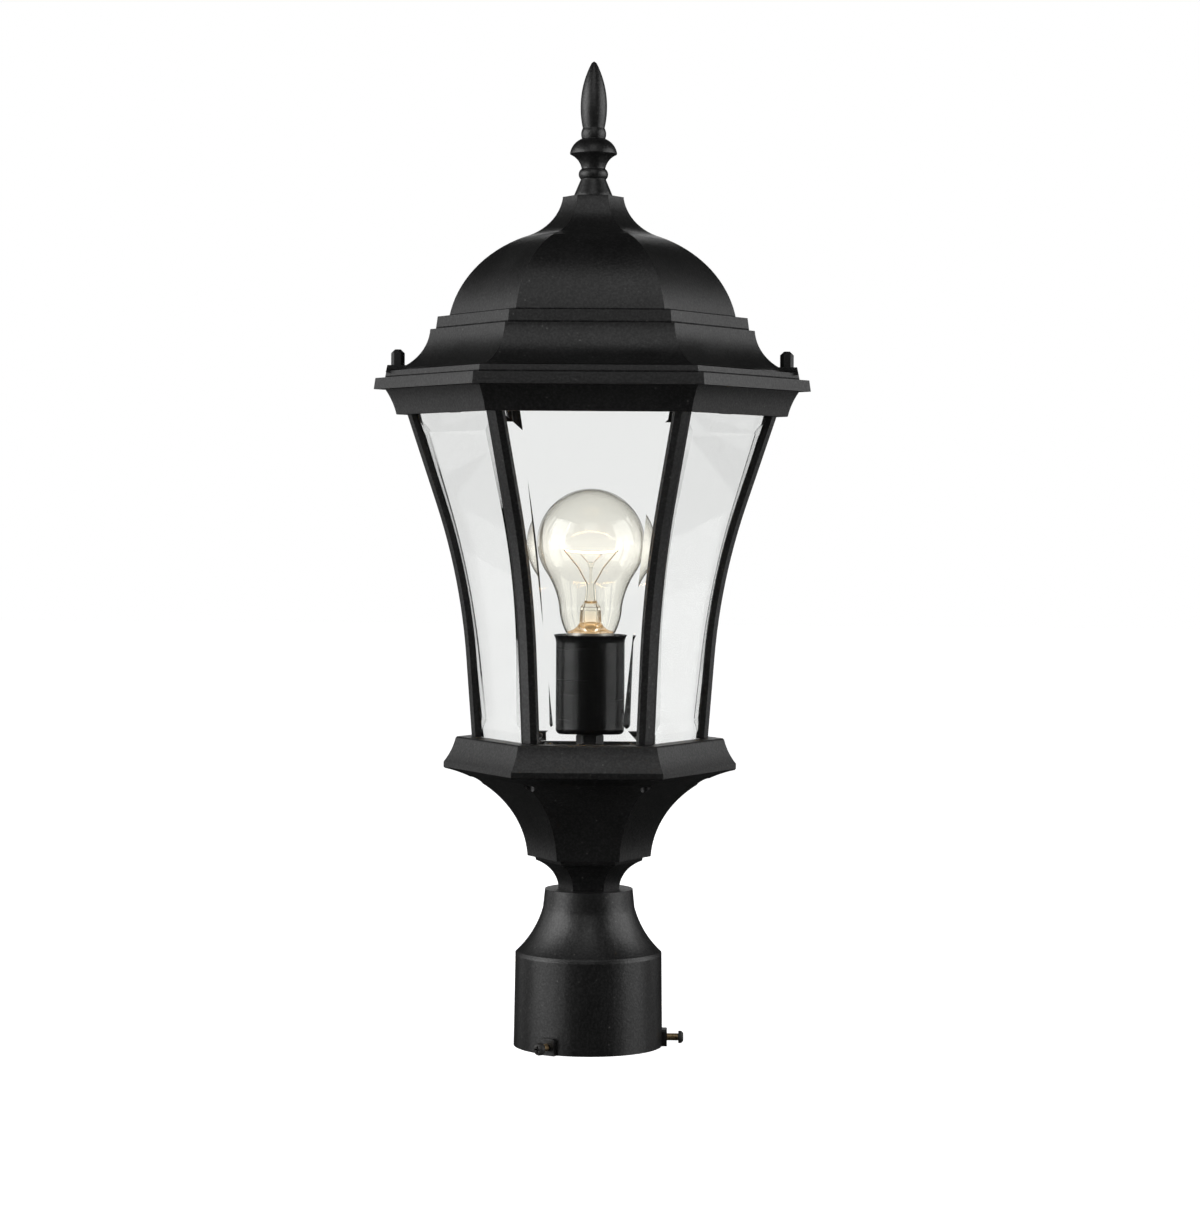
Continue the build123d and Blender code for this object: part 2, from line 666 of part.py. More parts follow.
def bulb_stem():
    foot = (BULB_FOOT_R - BULB_WALL - SEAT_GAP, BULB_NECK_Z + 0.2)
    waist = (STEM_TUBE_R + 0.6, BULB_NECK_Z + 5.5)
    tube_top = (STEM_TUBE_R, BULB_NECK_Z + STEM_TUBE_TOP)
    press = (STEM_PRESS_R, tube_top[1] + 3.5)
    press_top = (STEM_PRESS_R - 0.8, BULB_NECK_Z + STEM_PRESS_TOP)
    flare = turned(
        round_line(foot, (foot[0], foot[1] + 0.6)),
        round_arc((foot[0], foot[1] + 0.6), waist, 0.12),
        round_line(waist, tube_top, press, press_top),
    )
    button_z = BULB_NECK_Z + STEM_BUTTON_TOP
    post = rod(STEM_POST_R, press_top[1] - 1, button_z)
    button = Pos(0, 0, button_z) * Sphere(STEM_BUTTON_R)
    return flare + post + button - rod(STEM_BORE_R, BULB_NECK_Z - 1, BULB_NECK_Z + STEM_BORE_TOP)


def wire(radius, *points):
    """Round wire through straight pieces, with balls at the bends."""
    body = None
    for a, b in zip(points[:-1], points[1:]):
        start = Vector(*a)
        axis = Vector(*b) - start
        bar = extrude(Plane(origin=start, z_dir=axis) * Circle(radius), axis.length)
        body = bar if body is None else body + bar
    for p in points[1:-1]:
        body = body + Pos(*p) * Sphere(radius)
    return body


def bulb_lead_wires():
    filament_z = BULB_NECK_Z + FILAMENT_UP
    wires = []
    for side in (-1, 1):
        root = (side * (STEM_PRESS_R - 1.4), 0, BULB_NECK_Z + STEM_PRESS_TOP + 0.1)
        knee = (side * LEAD_KNEE[0], 0, BULB_NECK_Z + LEAD_KNEE[1])
        tip = (side * FILAMENT_HALF, 0, filament_z + 0.2)
        wires.append(wire(LEAD_R, root, knee, tip))
    return group(wires)


def bulb_filament():
    """Coil drawn as a thin bowed rod between the ends of the lead wires."""
    z = BULB_NECK_Z + FILAMENT_UP
    end = FILAMENT_HALF - 0.5
    reach = LEAD_R + FILAMENT_R + 0.05
    path = ThreePointArc((-end, reach, z), (0, reach + 1.5, z - FILAMENT_SAG), (end, reach, z))
    return sweep(Plane(origin=path @ 0, z_dir=path % 0) * Circle(FILAMENT_R), path=path)


def bulb_supports():
    """Fine hooks from the glass button up to the filament."""
    reach = STEM_BUTTON_R + 0.3
    rise = radians(40.0)
    button_z = BULB_NECK_Z + STEM_BUTTON_TOP
    tip_z = BULB_NECK_Z + FILAMENT_UP - FILAMENT_SAG - FILAMENT_R - HOOK_R
    hooks = []
    for side in (-1, 1):
        root = (side * reach * cos(rise), 0, button_z + reach * sin(rise))
        hooks.append(wire(HOOK_R, root, (side * HOOK_TIP[0], HOOK_TIP[1], tip_z)))
    return group(hooks)


# ---- glass ------------------------------------------------------------------------------------

def glass_face(z):
    """Distance of the outer glass face from the axis, square to a flat side."""
    return crown_radius(z) * COS30 - GLASS_INSET


def glass_half_width(distance):
    """Half width of the glass at a distance from the axis, up to the gap beside the rib's stem."""
    return distance * TAN30 - GLASS_EDGE_GAP / COS30


def glass_field_ends():
    """Heights where the clear field of a pane begins and ends, between the lower and the upper bevel."""
    return GLASS_FOOT_Z + GLASS_BEVEL, GLASS_HEAD_Z - GLASS_BEVEL * cos(radians(RIB_TOP_LEAN - 2.5))


def glass_field_half(z):
    """Half width of the clear field, whose sides are straight lines."""
    low, high = glass_field_ends()
    ground = [glass_face(end) - GLASS_BEVEL_DROP for end in (low, high)]
    halves = [glass_half_width(distance) - GLASS_SIDE_BEVEL for distance in ground]
    return halves[0] + (halves[1] - halves[0]) * (z - low) / (high - low)


def glass_section(z, edge):
    """Level section of a pane on the +X side; at its foot and head the face is ground down."""
    face = glass_face(z)
    ground = face - GLASS_BEVEL_DROP
    lower, upper, _ = rib_bend()
    share = min(max((z - lower[1]) / (upper[1] - lower[1]), 0.0), 1.0)
    lean = RIB_FOOT_LEAN + share * (RIB_TOP_LEAN - RIB_FOOT_LEAN)
    back = face - GLASS_T / cos(radians(lean))
    half = glass_half_width(ground)
    field = half - 0.02 if edge else glass_field_half(z)
    front = ground + 0.002 if edge else face
    right = [(back, glass_half_width(back)), (ground, half), (front, field)]
    points = right + [(x, -y) for x, y in reversed(right)]
    return Pos(0, 0, z) * make_face(Polyline(points, close=True))


def glass_pane(angle):
    low, high = glass_field_ends()
    steps = 8
    sections = [glass_section(GLASS_FOOT_Z, True)]
    for i in range(steps + 1):
        sections.append(glass_section(low + (high - low) * i / steps, False))
    sections.append(glass_section(GLASS_HEAD_Z, True))
    return Rot(0, 0, angle) * loft(sections, ruled=True)


# ---- top ring ---------------------------------------------------------------------------------

def top_ring():
    skirt = (SKIRT_R + 0.2, RIB_TOP_Z + 0.4)
    under_brim = (BRIM_UNDER_R, BRIM_Z)
    outer = hexagonal(
        line((SKIRT_R, RIB_TOP_Z), skirt),
        arc(skirt, under_brim, 0.0434),
        line(under_brim, (BRIM_R, BRIM_Z), (BRIM_R - 0.15, BRIM_Z + 1.3), (BRIM_TOP_R, RING_TOP_Z)),
    )
    under = RING_TOP_Z - RING_FLANGE_T
    low = RIB_TOP_Z - 2.6
    inner_low = (crown_radius(low) + SKIRT_CLEAR, low)
    inner = hexagonal(line(inner_low, (crown_radius(under) + SKIRT_CLEAR, under)))
    opening = hexagonal(line((RING_OPENING_R, under - 1), (RING_OPENING_R, RING_TOP_Z + 1)))
    body = outer - inner - opening
    clear = M3_R + SLIP_GAP
    sink = Cone(clear, clear + M3_SINK, M3_SINK, align=STANDING)
    rib_hole = rod(clear, under - 1, RING_TOP_Z + 1) + Pos(0, 0, RING_TOP_Z - M3_SINK) * sink
    for cut in around(Pos(upper_screw_r(), 0, 0) * rib_hole, CORNERS):
        body = body - cut
    clip_hole = rod(M3_R + THREAD_GAP, under - 1, RING_TOP_Z + 1)
    for cut in around(Pos(clip_screw_x(), 0, 0) * clip_hole, FLATS):
        body = body - cut
    for angle in (0.0, 180.0):
        body = body - Rot(0, 0, angle) * Pos(NUT_R, 0, 0) * rod(ROOF_STUD_R, under - 1, RING_TOP_Z + 1)
    return body


def rib_screws_upper():
    length = RING_FLANGE_T + SLIP_GAP + RIB_TAP - 0.5
    head = Cone(M3_R, M3_R + M3_SINK, M3_SINK, align=HANGING)
    slot = Box(2.8 * M3_R, M3_R / 2, 0.8 * M3_SINK)
    screw = rod(M3_R, -length, 0.1 - M3_SINK) + head - slot
    return group(around(Pos(upper_screw_r(), 0, RING_TOP_Z - 0.1) * screw, CORNERS))


def rib_screws_lower():
    length = LEDGE_Z - RIB_SCREW_SEAT_Z + RIB_TAP + 2.0
    upright = pan_screw(M3_R, M3_HEAD_R, M3_HEAD_T, length)
    screw = Pos(lower_screw_r(), 0, RIB_SCREW_SEAT_Z) * Rot(180, 0, 0) * upright
    return group(around(screw, CORNERS))


def clip_back():
    """Outer face of a clip's hanging leg, just inside the glass."""
    return glass_face(GLASS_HEAD_Z) - GLASS_T - CLIP_GAP


def clip_screw_x():
    return clip_back() + CLIP_SCREW_REACH


def glass_clips():
    under = RING_TOP_Z - RING_FLANGE_T
    back = clip_back()
    top_leg = box(back - CLIP_T, clip_screw_x() + M3_R + 2.1, CLIP_WIDTH, under - CLIP_T, under)
    drop_leg = box(back - CLIP_T, back, CLIP_WIDTH, GLASS_HEAD_Z - 0.7, under)
    hole = Pos(clip_screw_x(), 0, 0) * rod(M3_R + SLIP_GAP, under - 5, under + 5)
    return group(around(top_leg + drop_leg - hole, FLATS))


def clip_screws():
    seat = RING_TOP_Z - RING_FLANGE_T - CLIP_T
    length = CLIP_T + RING_FLANGE_T - 0.3
    screw = Rot(180, 0, 0) * pan_screw(M3_R, CLIP_SCREW_HEAD_R, CLIP_SCREW_HEAD_T, length)
    return group(around(Pos(clip_screw_x(), 0, seat) * screw, FLATS))


# ---- roof -------------------------------------------------------------------------------------

def roof():
    cove = (COVE_R, ROOF_FLANGE_TOP_Z + 0.1)
    band = (BAND_R, BAND_Z)
    dome = (DOME_R, DOME_Z)
    ogee = (OGEE_R, OGEE_Z)
    neck = (ROOF_TOP_R, OGEE_Z + OGEE_H)
    band_low = BAND_R - BAND_STEP
    band_high = band_low - BAND_DRAFT
    outer = hexagonal(
        line((ROOF_FLANGE_R, ROOF_Z), (ROOF_FLANGE_R - 0.7, ROOF_FLANGE_TOP_Z), cove),
        arc(cove, band, 0.1577),
        line(band, (band_low, BAND_Z), (band_high, DOME_Z), dome),
        arc(dome, ogee, -0.1301),
        arc(ogee, neck, 0.1415),
        line(neck, (ROOF_TOP_R, ROOF_TOP_Z)),
    )
    low = (ROOF_OPENING_R, ROOF_FLANGE_TOP_Z + 1.4)
    step = (BAND_R - ROOF_WALL, BAND_Z - ROOF_CEILING)
    under = (DOME_R - ROOF_WALL, DOME_Z - ROOF_CEILING)
    saddle = (OGEE_R - 0.8, OGEE_Z - ROOF_CEILING)
    inner = hexagonal(
        line((ROOF_OPENING_R, ROOF_Z - 1), low),
        arc(low, step, 0.0994),
        line(step, (band_low - 2.6, step[1]), (band_high - 2.6, under[1]), under),
        arc(under, saddle, -0.1358),
        arc(saddle, (ROOF_TOP_R + 2.5, ROOF_WEB_Z), 0.0841),
    )
    body = outer
    for angle in (0.0, 180.0):
        body = body + Rot(0, 0, angle) * nut_boss()
    body = body - inner - rod(FINIAL_STUD_R + SLIP_GAP, ROOF_WEB_Z - 1, ROOF_TOP_Z + 1)
    for angle in (0.0, 180.0):
        hole = rod(ROOF_STUD_R + SEAT_GAP, ROOF_Z - 1, BOSS_TOP_Z + 1)
        body = body - Rot(0, 0, angle) * Pos(NUT_R, 0, 0) * hole
    return body


def nut_boss():
    """Flat topped pad under a cap nut, running back into the cove."""
    inner_r = BOSS_OUTER_R - BOSS_LENGTH
    low = ROOF_FLANGE_TOP_Z - 1.0
    side = Polyline(
        [
            (inner_r, 0, low),
            (BOSS_OUTER_R + 0.9, 0, low),
            (BOSS_OUTER_R, 0, BOSS_TOP_Z),
            (inner_r, 0, BOSS_TOP_Z),
        ],
        close=True,
    )
    return extrude(make_face(side), amount=BOSS_WIDTH / 2, both=True)


def roof_studs():
    low = RING_TOP_Z - RING_FLANGE_T + 0.1
    stud = Pos(NUT_R, 0, 0) * rod(ROOF_STUD_R, low, BOSS_TOP_Z + CAP_NUT_TAP - 0.6)
    return group(around(stud, [0.0, 180.0]))


def cap_nut(angle):
    blank = hex_prism(2 * CAP_NUT_CORNER_R * COS30, 0, CAP_NUT_H)
    trim = turned(
        round_line(
            (CAP_NUT_CORNER_R + 0.1, 0),
            (CAP_NUT_CORNER_R + 0.1, CAP_NUT_H - CAP_NUT_CHAMFER),
            (CAP_NUT_TIP_R, CAP_NUT_H),
        )
    )
    nut = (blank & trim) - rod(ROOF_STUD_R + THREAD_GAP, -1, CAP_NUT_TAP)
    return Rot(0, 0, angle) * Pos(NUT_R, 0, BOSS_TOP_Z) * nut


# ---- finial -----------------------------------------------------------------------------------

def finial():
    def up(point):
        return (point[0], ROOF_TOP_Z + point[1])

    base = (FINIAL_BASE_R, ROOF_TOP_Z)
    ring_low, ring_high = (up(p) for p in FINIAL_RING)
    cup, neck, collar, belly, tip = (
        up(p) for p in (FINIAL_CUP, FINIAL_NECK, FINIAL_COLLAR, FINIAL_BELLY, FINIAL_TIP)
    )
    cup_edge = (cup[0] + 0.2, cup[1] + 0.5)
    body = turned(
        round_line(base, (FINIAL_BASE_R - 0.1, ROOF_TOP_Z + 1.3), ring_low),
        round_arc(ring_low, ring_high, -0.2443),
        round_arc(ring_high, cup, 0.1293),
        round_line(cup, cup_edge),
        round_arc(cup_edge, neck, -0.1359),
        round_arc(neck, collar, -0.1164),
        round_arc(collar, belly, -0.0275),
        round_arc(belly, tip, -0.062),
        round_line(tip, (0.0, ROOF_TOP_Z + FINIAL_H)),
    )
    return body - rod(FINIAL_STUD_R + THREAD_GAP, ROOF_TOP_Z - 1, ROOF_TOP_Z + FINIAL_TAP)


def finial_fixings():
    seat = ROOF_WEB_Z - FINIAL_WASHER_T
    nut_low = seat - FINIAL_NUT_T
    save("finial_stud", rod(FINIAL_STUD_R, nut_low - 1.7, ROOF_TOP_Z + FINIAL_TAP - 0.5))
    save("finial_lock_washer", lock_washer(FINIAL_WASHER_R, FINIAL_STUD_R, seat, ROOF_WEB_Z))
    save("finial_nut", hex_nut(FINIAL_NUT_AF, FINIAL_STUD_R, nut_low, seat))


# ---- output -----------------------------------------------------------------------------------

def main():
    save("fitter_collar", fitter_collar())
    for index, angle in enumerate(SET_SCREW_ANGLES, start=1):
        save(f"set_screw_{index}", set_screw(angle))
    save("base_casting", base_casting())
    save("floor_plate", floor_plate())
    save("floor_plate_screws", floor_plate_screws())
    neck_tube_set()
    socket_tube_set()
    save("socket_cup", socket_cup())
    save("socket_insulator", socket_insulator())
    save("socket_screw_shell", socket_screw_shell())
    save("socket_center_contact", socket_center_contact())
    save("bulb_envelope", bulb_envelope())
    save("bulb_base_shell", bulb_base_shell())
    save("bulb_base_insulator", bulb_base_insulator())
    save("bulb_base_contact", bulb_base_contact())
    save("bulb_stem", bulb_stem())
    save("bulb_lead_wires", bulb_lead_wires())
    save("bulb_filament", bulb_filament())
    save("bulb_supports", bulb_supports())
    one_rib = rib()
    for index, angle in enumerate(CORNERS, start=1):
        save(f"rib_{index}", Rot(0, 0, angle) * one_rib)
    for index, angle in enumerate(FLATS, start=1):
        save(f"glass_pane_{index}", glass_pane(angle))
    save("top_ring", top_ring())
    save("rib_screws_upper", rib_screws_upper())
    save("rib_screws_lower", rib_screws_lower())
    save("glass_clips", glass_clips())
    save("clip_screws", clip_screws())
    save("roof", roof())
    save("roof_studs", roof_studs())
    for name, angle in CAP_NUTS:
        save(name, cap_nut(angle))
    save("finial", finial())
    finial_fixings()


main()
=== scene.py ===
"""Looks of a six-sided post top lantern with bevelled glass panes, a lit bulb and a post fitter.

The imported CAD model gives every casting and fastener. This file rounds their arrises, paints them, and
models the bent panes, the blown bulb and its filament anew.
"""

import json
import logging
from collections.abc import Callable, Sequence
from dataclasses import dataclass
from enum import Enum
from math import atan2, cos, pi, radians, sin, sqrt, tan

import bmesh
import bpy
from mathutils import Matrix, Quaternion, Vector

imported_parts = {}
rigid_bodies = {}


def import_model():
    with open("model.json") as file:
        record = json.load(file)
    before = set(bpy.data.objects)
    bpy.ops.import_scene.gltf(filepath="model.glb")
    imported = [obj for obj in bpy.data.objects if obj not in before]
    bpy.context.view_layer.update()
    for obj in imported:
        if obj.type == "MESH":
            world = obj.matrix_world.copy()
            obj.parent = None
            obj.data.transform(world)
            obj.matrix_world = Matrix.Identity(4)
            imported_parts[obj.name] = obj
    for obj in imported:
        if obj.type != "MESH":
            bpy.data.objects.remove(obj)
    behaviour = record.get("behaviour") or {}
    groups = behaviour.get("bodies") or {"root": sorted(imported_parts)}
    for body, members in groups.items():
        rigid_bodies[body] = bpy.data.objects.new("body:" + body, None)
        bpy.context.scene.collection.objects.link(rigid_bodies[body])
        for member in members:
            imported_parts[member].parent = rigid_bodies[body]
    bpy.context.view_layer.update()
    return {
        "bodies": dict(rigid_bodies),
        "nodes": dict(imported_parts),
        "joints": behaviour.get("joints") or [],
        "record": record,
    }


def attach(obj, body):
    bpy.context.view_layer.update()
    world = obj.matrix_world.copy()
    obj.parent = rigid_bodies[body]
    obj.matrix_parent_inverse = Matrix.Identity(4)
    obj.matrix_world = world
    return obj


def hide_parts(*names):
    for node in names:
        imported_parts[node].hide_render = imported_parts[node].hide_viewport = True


LOG = logging.getLogger("lantern")
ORIGIN = (0.0, 0.0, 0.0)
SIDES = 6
TAN30 = tan(radians(30.0))
COS30 = cos(radians(30.0))
Colour = tuple[float, float, float]
Point = tuple[float, float, float]
Outline = list[tuple[float, float]]
WHITE: Colour = (1.0, 1.0, 1.0)
SIDE_TURN = 360.0 / SIDES
MERGE_GAP = 1e-6
TOUCH_GAP = 1e-5


class Slot(Enum):
    """Material slots of the record for the new pieces; nothing in the script uses them."""

    PANE = "pane_glass"
    BULB = "bulb_glass"
    TUNGSTEN = "tungsten"


class Body(Enum):
    """Bodies of the record that new pieces ride on."""

    ROOT = "root"
    BULB = "bulb"


# ---- working with shader nodes ------------------------------------------------------------------


class Recipe:
    """Nodes and links of one material, node group or world."""

    def __init__(self, tree: bpy.types.NodeTree) -> None:
        """Takes an empty or default tree and clears it."""
        self.tree = tree
        tree.nodes.clear()

    def node(self, kind: str, values: dict | None = None, **settings: object) -> bpy.types.Node:
        """Adds a node.

        Args:
            kind: Blender's name of the node type, without its Shader Node prefix.
            values: socket name or number to a plain value or to another node's output socket.
            settings: properties of the node itself.

        Returns:
            The new node.
        """
        prefix = "" if kind.startswith("Node") else "ShaderNode"
        added = self.tree.nodes.new(prefix + kind)
        for name, value in settings.items():
            setattr(added, name, value)
        for socket, value in (values or {}).items():
            target = added.inputs[socket]
            if isinstance(value, bpy.types.NodeSocket):
                self.tree.links.new(value, target)
            elif isinstance(value, tuple) and len(value) == 3 and target.type == "RGBA":
                target.default_value = (*value, 1.0)
            else:
                target.default_value = value
        return added

    def ramp(self, mask: bpy.types.NodeSocket, low: float, high: float) -> bpy.types.NodeSocket:
        """Spreads a mask between two values to the whole range from 0 to 1."""
        spread = self.node("MapRange", {"Value": mask, "From Min": low, "From Max": high})
        return spread.outputs["Result"]

    def spread(self, mask: bpy.types.NodeSocket, middle: float, reach: float) -> bpy.types.NodeSocket:
        """Spreads a mask from 0 to 1 over the values round a middle one."""
        ends = {"Value": mask, "To Min": middle - reach, "To Max": middle + reach}
        return self.node("MapRange", ends).outputs["Result"]

    def bump(
        self, height: bpy.types.NodeSocket, distance: float, more: dict | None = None
    ) -> bpy.types.NodeSocket:
        """Turns a height mask into a normal, with further sockets of the node where they are given."""
        values = {"Height": height, "Distance": distance, "Strength": 1.0, **(more or {})}
        return self.node("Bump", values).outputs["Normal"]

    def mix(self, share: bpy.types.NodeSocket, first: object, second: object) -> bpy.types.NodeSocket:
        """Mixes two colours by a mask and returns the colour."""
        mixer = self.node("Mix", {0: share}, data_type="RGBA")
        for slot, value in ((6, first), (7, second)):
            if isinstance(value, bpy.types.NodeSocket):
                self.tree.links.new(value, mixer.inputs[slot])
            else:
                mixer.inputs[slot].default_value = (*value, 1.0)
        return mixer.outputs[2]

    def math(self, operation: str, *terms: object) -> bpy.types.NodeSocket:
        """Adds one math node and returns its value."""
        return self.node("Math", dict(enumerate(terms)), operation=operation).outputs[0]


def effect_group(name: str, inputs: dict[str, float], outputs: Sequence[str]) -> Recipe | None:
    """Starts a shader node group with number sockets.

    Args:
        name: the group's name.
        inputs: input name to its default number.
        outputs: names of the number outputs.

    Returns:
        The recipe to fill, or None when the group already exists.
    """
    if name in bpy.data.node_groups:
        return None
    tree = bpy.data.node_groups.new(name, "ShaderNodeTree")
    for label, value in inputs.items():
        socket = tree.interface.new_socket(label, in_out="INPUT", socket_type="NodeSocketFloat")
        socket.default_value = value
    for label in outputs:
        tree.interface.new_socket(label, in_out="OUTPUT", socket_type="NodeSocketFloat")
    return Recipe(tree)


# Noise: cells in a metre, the values that count as change of tone, and those that count as specks.
DRIFT_SCALE = 38.0
DRIFT_RANGE = (0.3, 0.7)
SPECK_LEVEL = 0.86
SPECK_REACH = 6.0
SPECK_EDGE = 0.05
BROAD_LINES = 0.17


def grain_group() -> bpy.types.NodeTree:
    """Grain of a sprayed or moulded skin: small bumps, a slow drift of tone, and sparse specks."""
    inputs = {"Grain": 0.0005, "Speck Share": 0.01}
    recipe = effect_group("coat_grain", inputs, ("Height", "Tone", "Specks"))
    if recipe:
        given = recipe.node("NodeGroupInput").outputs
        place = recipe.node("TexCoord").outputs["Object"]
        scale = recipe.math("DIVIDE", 1.0, given["Grain"])
        fine = recipe.node("TexNoise", {"Vector": place, "Scale": scale, "Detail": 2.0, "Roughness": 0.6})
        drift = recipe.node("TexNoise", {"Vector": place, "Scale": DRIFT_SCALE, "Detail": 3.0})
        flecks = recipe.node("TexNoise", {"Vector": place, "Scale": scale, "Detail": 0.0})
        reach = recipe.math("MULTIPLY", given["Speck Share"], SPECK_REACH)
        cut = recipe.math("SUBTRACT", SPECK_LEVEL, reach)
        lit = recipe.math("SUBTRACT", flecks.outputs[0], cut)
        tone = recipe.ramp(drift.outputs[0], *DRIFT_RANGE)
        specks = recipe.ramp(lit, 0.0, SPECK_EDGE)
        recipe.node("NodeGroupOutput", {"Height": fine.outputs[0], "Tone": tone, "Specks": specks})
    return bpy.data.node_groups["coat_grain"]


def streak_group() -> bpy.types.NodeTree:
    """Fine level lines left by turning or drawing, wrapped round the upright axis."""
    recipe = effect_group("turning_lines", {"Pitch": 0.0004, "Waver": 0.25}, ("Height", "Tone"))
    if recipe:
        given = recipe.node("NodeGroupInput").outputs
        place = recipe.node("TexCoord").outputs["Object"]
        parts = recipe.node("SeparateXYZ", {0: place}).outputs
        around = recipe.math("ARCTAN2", parts["Y"], parts["X"])
        across = recipe.math("MULTIPLY", around, given["Waver"])
        level = recipe.math("DIVIDE", parts["Z"], given["Pitch"])
        laid = recipe.node("CombineXYZ", {0: across, 1: 0.0, 2: level}).outputs[0]
        lines = recipe.node("TexNoise", {"Vector": laid, "Scale": 1.0, "Detail": 3.0})
        broad = recipe.node("TexNoise", {"Vector": laid, "Scale": BROAD_LINES, "Detail": 2.0})
        tone = recipe.ramp(broad.outputs[0], *DRIFT_RANGE)
        recipe.node("NodeGroupOutput", {"Height": lines.outputs[0], "Tone": tone})
    return bpy.data.node_groups["turning_lines"]


@dataclass(frozen=True)
class Seam:
    """Level line on the castings, such as a fillet on a ledge or a turned groove.

    The face is lifted the most at the line's height and falls back to its place over the reach above and,
    for a groove, also over the reach below. A groove has a lift below zero.
    """

    height: float
    above: float
    below: float = 0.0
    lift: float = 0.003


def seam_group(seams: Sequence[Seam]) -> bpy.types.NodeTree:
    """Adds up how far the seams lift the face at each height, in metres."""
    recipe = effect_group("casting_seams", {}, ("Height",))
    if recipe:
        place = recipe.node("TexCoord").outputs["Object"]
        level = recipe.node("SeparateXYZ", {0: place}).outputs["Z"]
        total = 0.0
        for seam in seams:
            near = recipe.ramp(level, seam.height + seam.above, seam.height)
            if seam.below:
                under = recipe.ramp(level, seam.height - seam.below, seam.height)
                near = recipe.math("MULTIPLY", near, under)
            total = recipe.math("ADD", total, recipe.math("MULTIPLY", near, seam.lift))
        recipe.node("NodeGroupOutput", {"Height": total})
    return bpy.data.node_groups["casting_seams"]


# ---- finishes -----------------------------------------------------------------------------------


def new_material(name: str) -> tuple[bpy.types.Material, Recipe]:
    """Starts an empty node material."""
    material = bpy.data.materials.new(name)
    material.use_nodes = True
    return material, Recipe(material.node_tree)


@dataclass(frozen=True)
class Finish:
    """Named look of a surface."""

    name: str

    def shader(self, recipe: Recipe) -> bpy.types.Node:
        """Adds the nodes of the look and returns the shader."""
        raise NotImplementedError

    def material(self) -> bpy.types.Material:
        """Makes the material, or returns it where it is already made."""
        if self.name in bpy.data.materials:
            return bpy.data.materials[self.name]
        material, recipe = new_material(self.name)
        recipe.node("OutputMaterial", {"Surface": self.shader(recipe).outputs[0]})
        return material


@dataclass(frozen=True)
class CoatFinish(Finish):
    """Black coat on metal or a dark moulding, with its grain, drift of tone and specks."""

    colour: Colour
    tone: Colour
    roughness: float
    grain: float
    relief: float
    speck_share: float = 0.0
    grain_colour: Colour = (0.012, 0.012, 0.012)
    speck_colour: Colour = (0.16, 0.16, 0.15)
    glint: float = 0.0
    seams: tuple[Seam, ...] = ()
    grain_range: tuple[float, float] = (0.45, 0.75)
    glint_range: tuple[float, float] = (0.35, 0.7)
    sheen_drift: float = 0.04

    def shader(self, recipe: Recipe) -> bpy.types.Node:
        """Adds the nodes of the look and returns the shader."""
        grain = recipe.node("Group", node_tree=grain_group())
        grain.inputs["Grain"].default_value = self.grain
        grain.inputs["Speck Share"].default_value = self.speck_share
        base = recipe.mix(grain.outputs["Tone"], self.colour, self.tone)
        grains = recipe.ramp(grain.outputs["Height"], *self.grain_range)
        base = recipe.mix(grains, base, self.grain_colour)
        base = recipe.mix(grain.outputs["Specks"], base, self.speck_colour)
        sheen = recipe.spread(grain.outputs["Tone"], self.roughness, self.sheen_drift)
        normal = recipe.bump(grain.outputs["Height"], self.relief)
        if self.seams:
            lifted = recipe.node("Group", node_tree=seam_group(self.seams)).outputs["Height"]
            normal = recipe.bump(lifted, 1.0, {"Normal": normal})
        shader = recipe.node(
            "BsdfPrincipled",
            {
                "Base Color": base,
                "Roughness": sheen,
                "Coat Roughness": self.roughness,
                "Normal": normal,
            },
        )
        if self.glint:
            bright = recipe.ramp(grain.outputs["Height"], *self.glint_range)
            gloss = recipe.math("MULTIPLY", bright, self.glint)
            recipe.tree.links.new(gloss, shader.inputs["Coat Weight"])
        return shader


@dataclass(frozen=True)
class TurnedFinish(Finish):
    """Metal or enamel with fine level lines."""

    colour: Colour
    tone: Colour
    roughness: float
    metallic: float
    pitch: float
    relief: float
    sheen_drift: float = 0.06

    def shader(self, recipe: Recipe) -> bpy.types.Node:
        """Adds the nodes of the look and returns the shader."""
        lines = recipe.node("Group", node_tree=streak_group())
        lines.inputs["Pitch"].default_value = self.pitch
        base = recipe.mix(lines.outputs["Tone"], self.colour, self.tone)
        return recipe.node(
            "BsdfPrincipled",
            {
                "Base Color": base,
                "Roughness": recipe.spread(lines.outputs["Height"], self.roughness, self.sheen_drift),
                "Metallic": self.metallic,
                "Normal": recipe.bump(lines.outputs["Height"], self.relief),
            },
        )


@dataclass(frozen=True)
class PaintedGlow:
    """Painted glow: warm emission on the glass round a lit filament, in place of its light, strongest at
    the filament's height.
    """

    colour: Colour = (1.0, 0.92, 0.78)
    height: float = 0.2785
    spread: float = 0.0125
    strength: float = 0.07
    far_colour: Colour = (0.12, 0.1, 0.06)

    def colour_at(self, recipe: Recipe, place: bpy.types.NodeSocket) -> bpy.types.NodeSocket:
        """Adds the nodes that fade the painted glow with the height from the filament, and returns its
        colour.
        """
        level = recipe.node("SeparateXYZ", {0: place}).outputs["Z"]
        off = recipe.math("DIVIDE", recipe.math("SUBTRACT", level, self.height), self.spread)
        squared = recipe.math("MULTIPLY", off, off)
        fade = recipe.math("EXPONENT", recipe.math("MULTIPLY", squared, -1.0))
        return recipe.mix(fade, self.far_colour, self.colour)


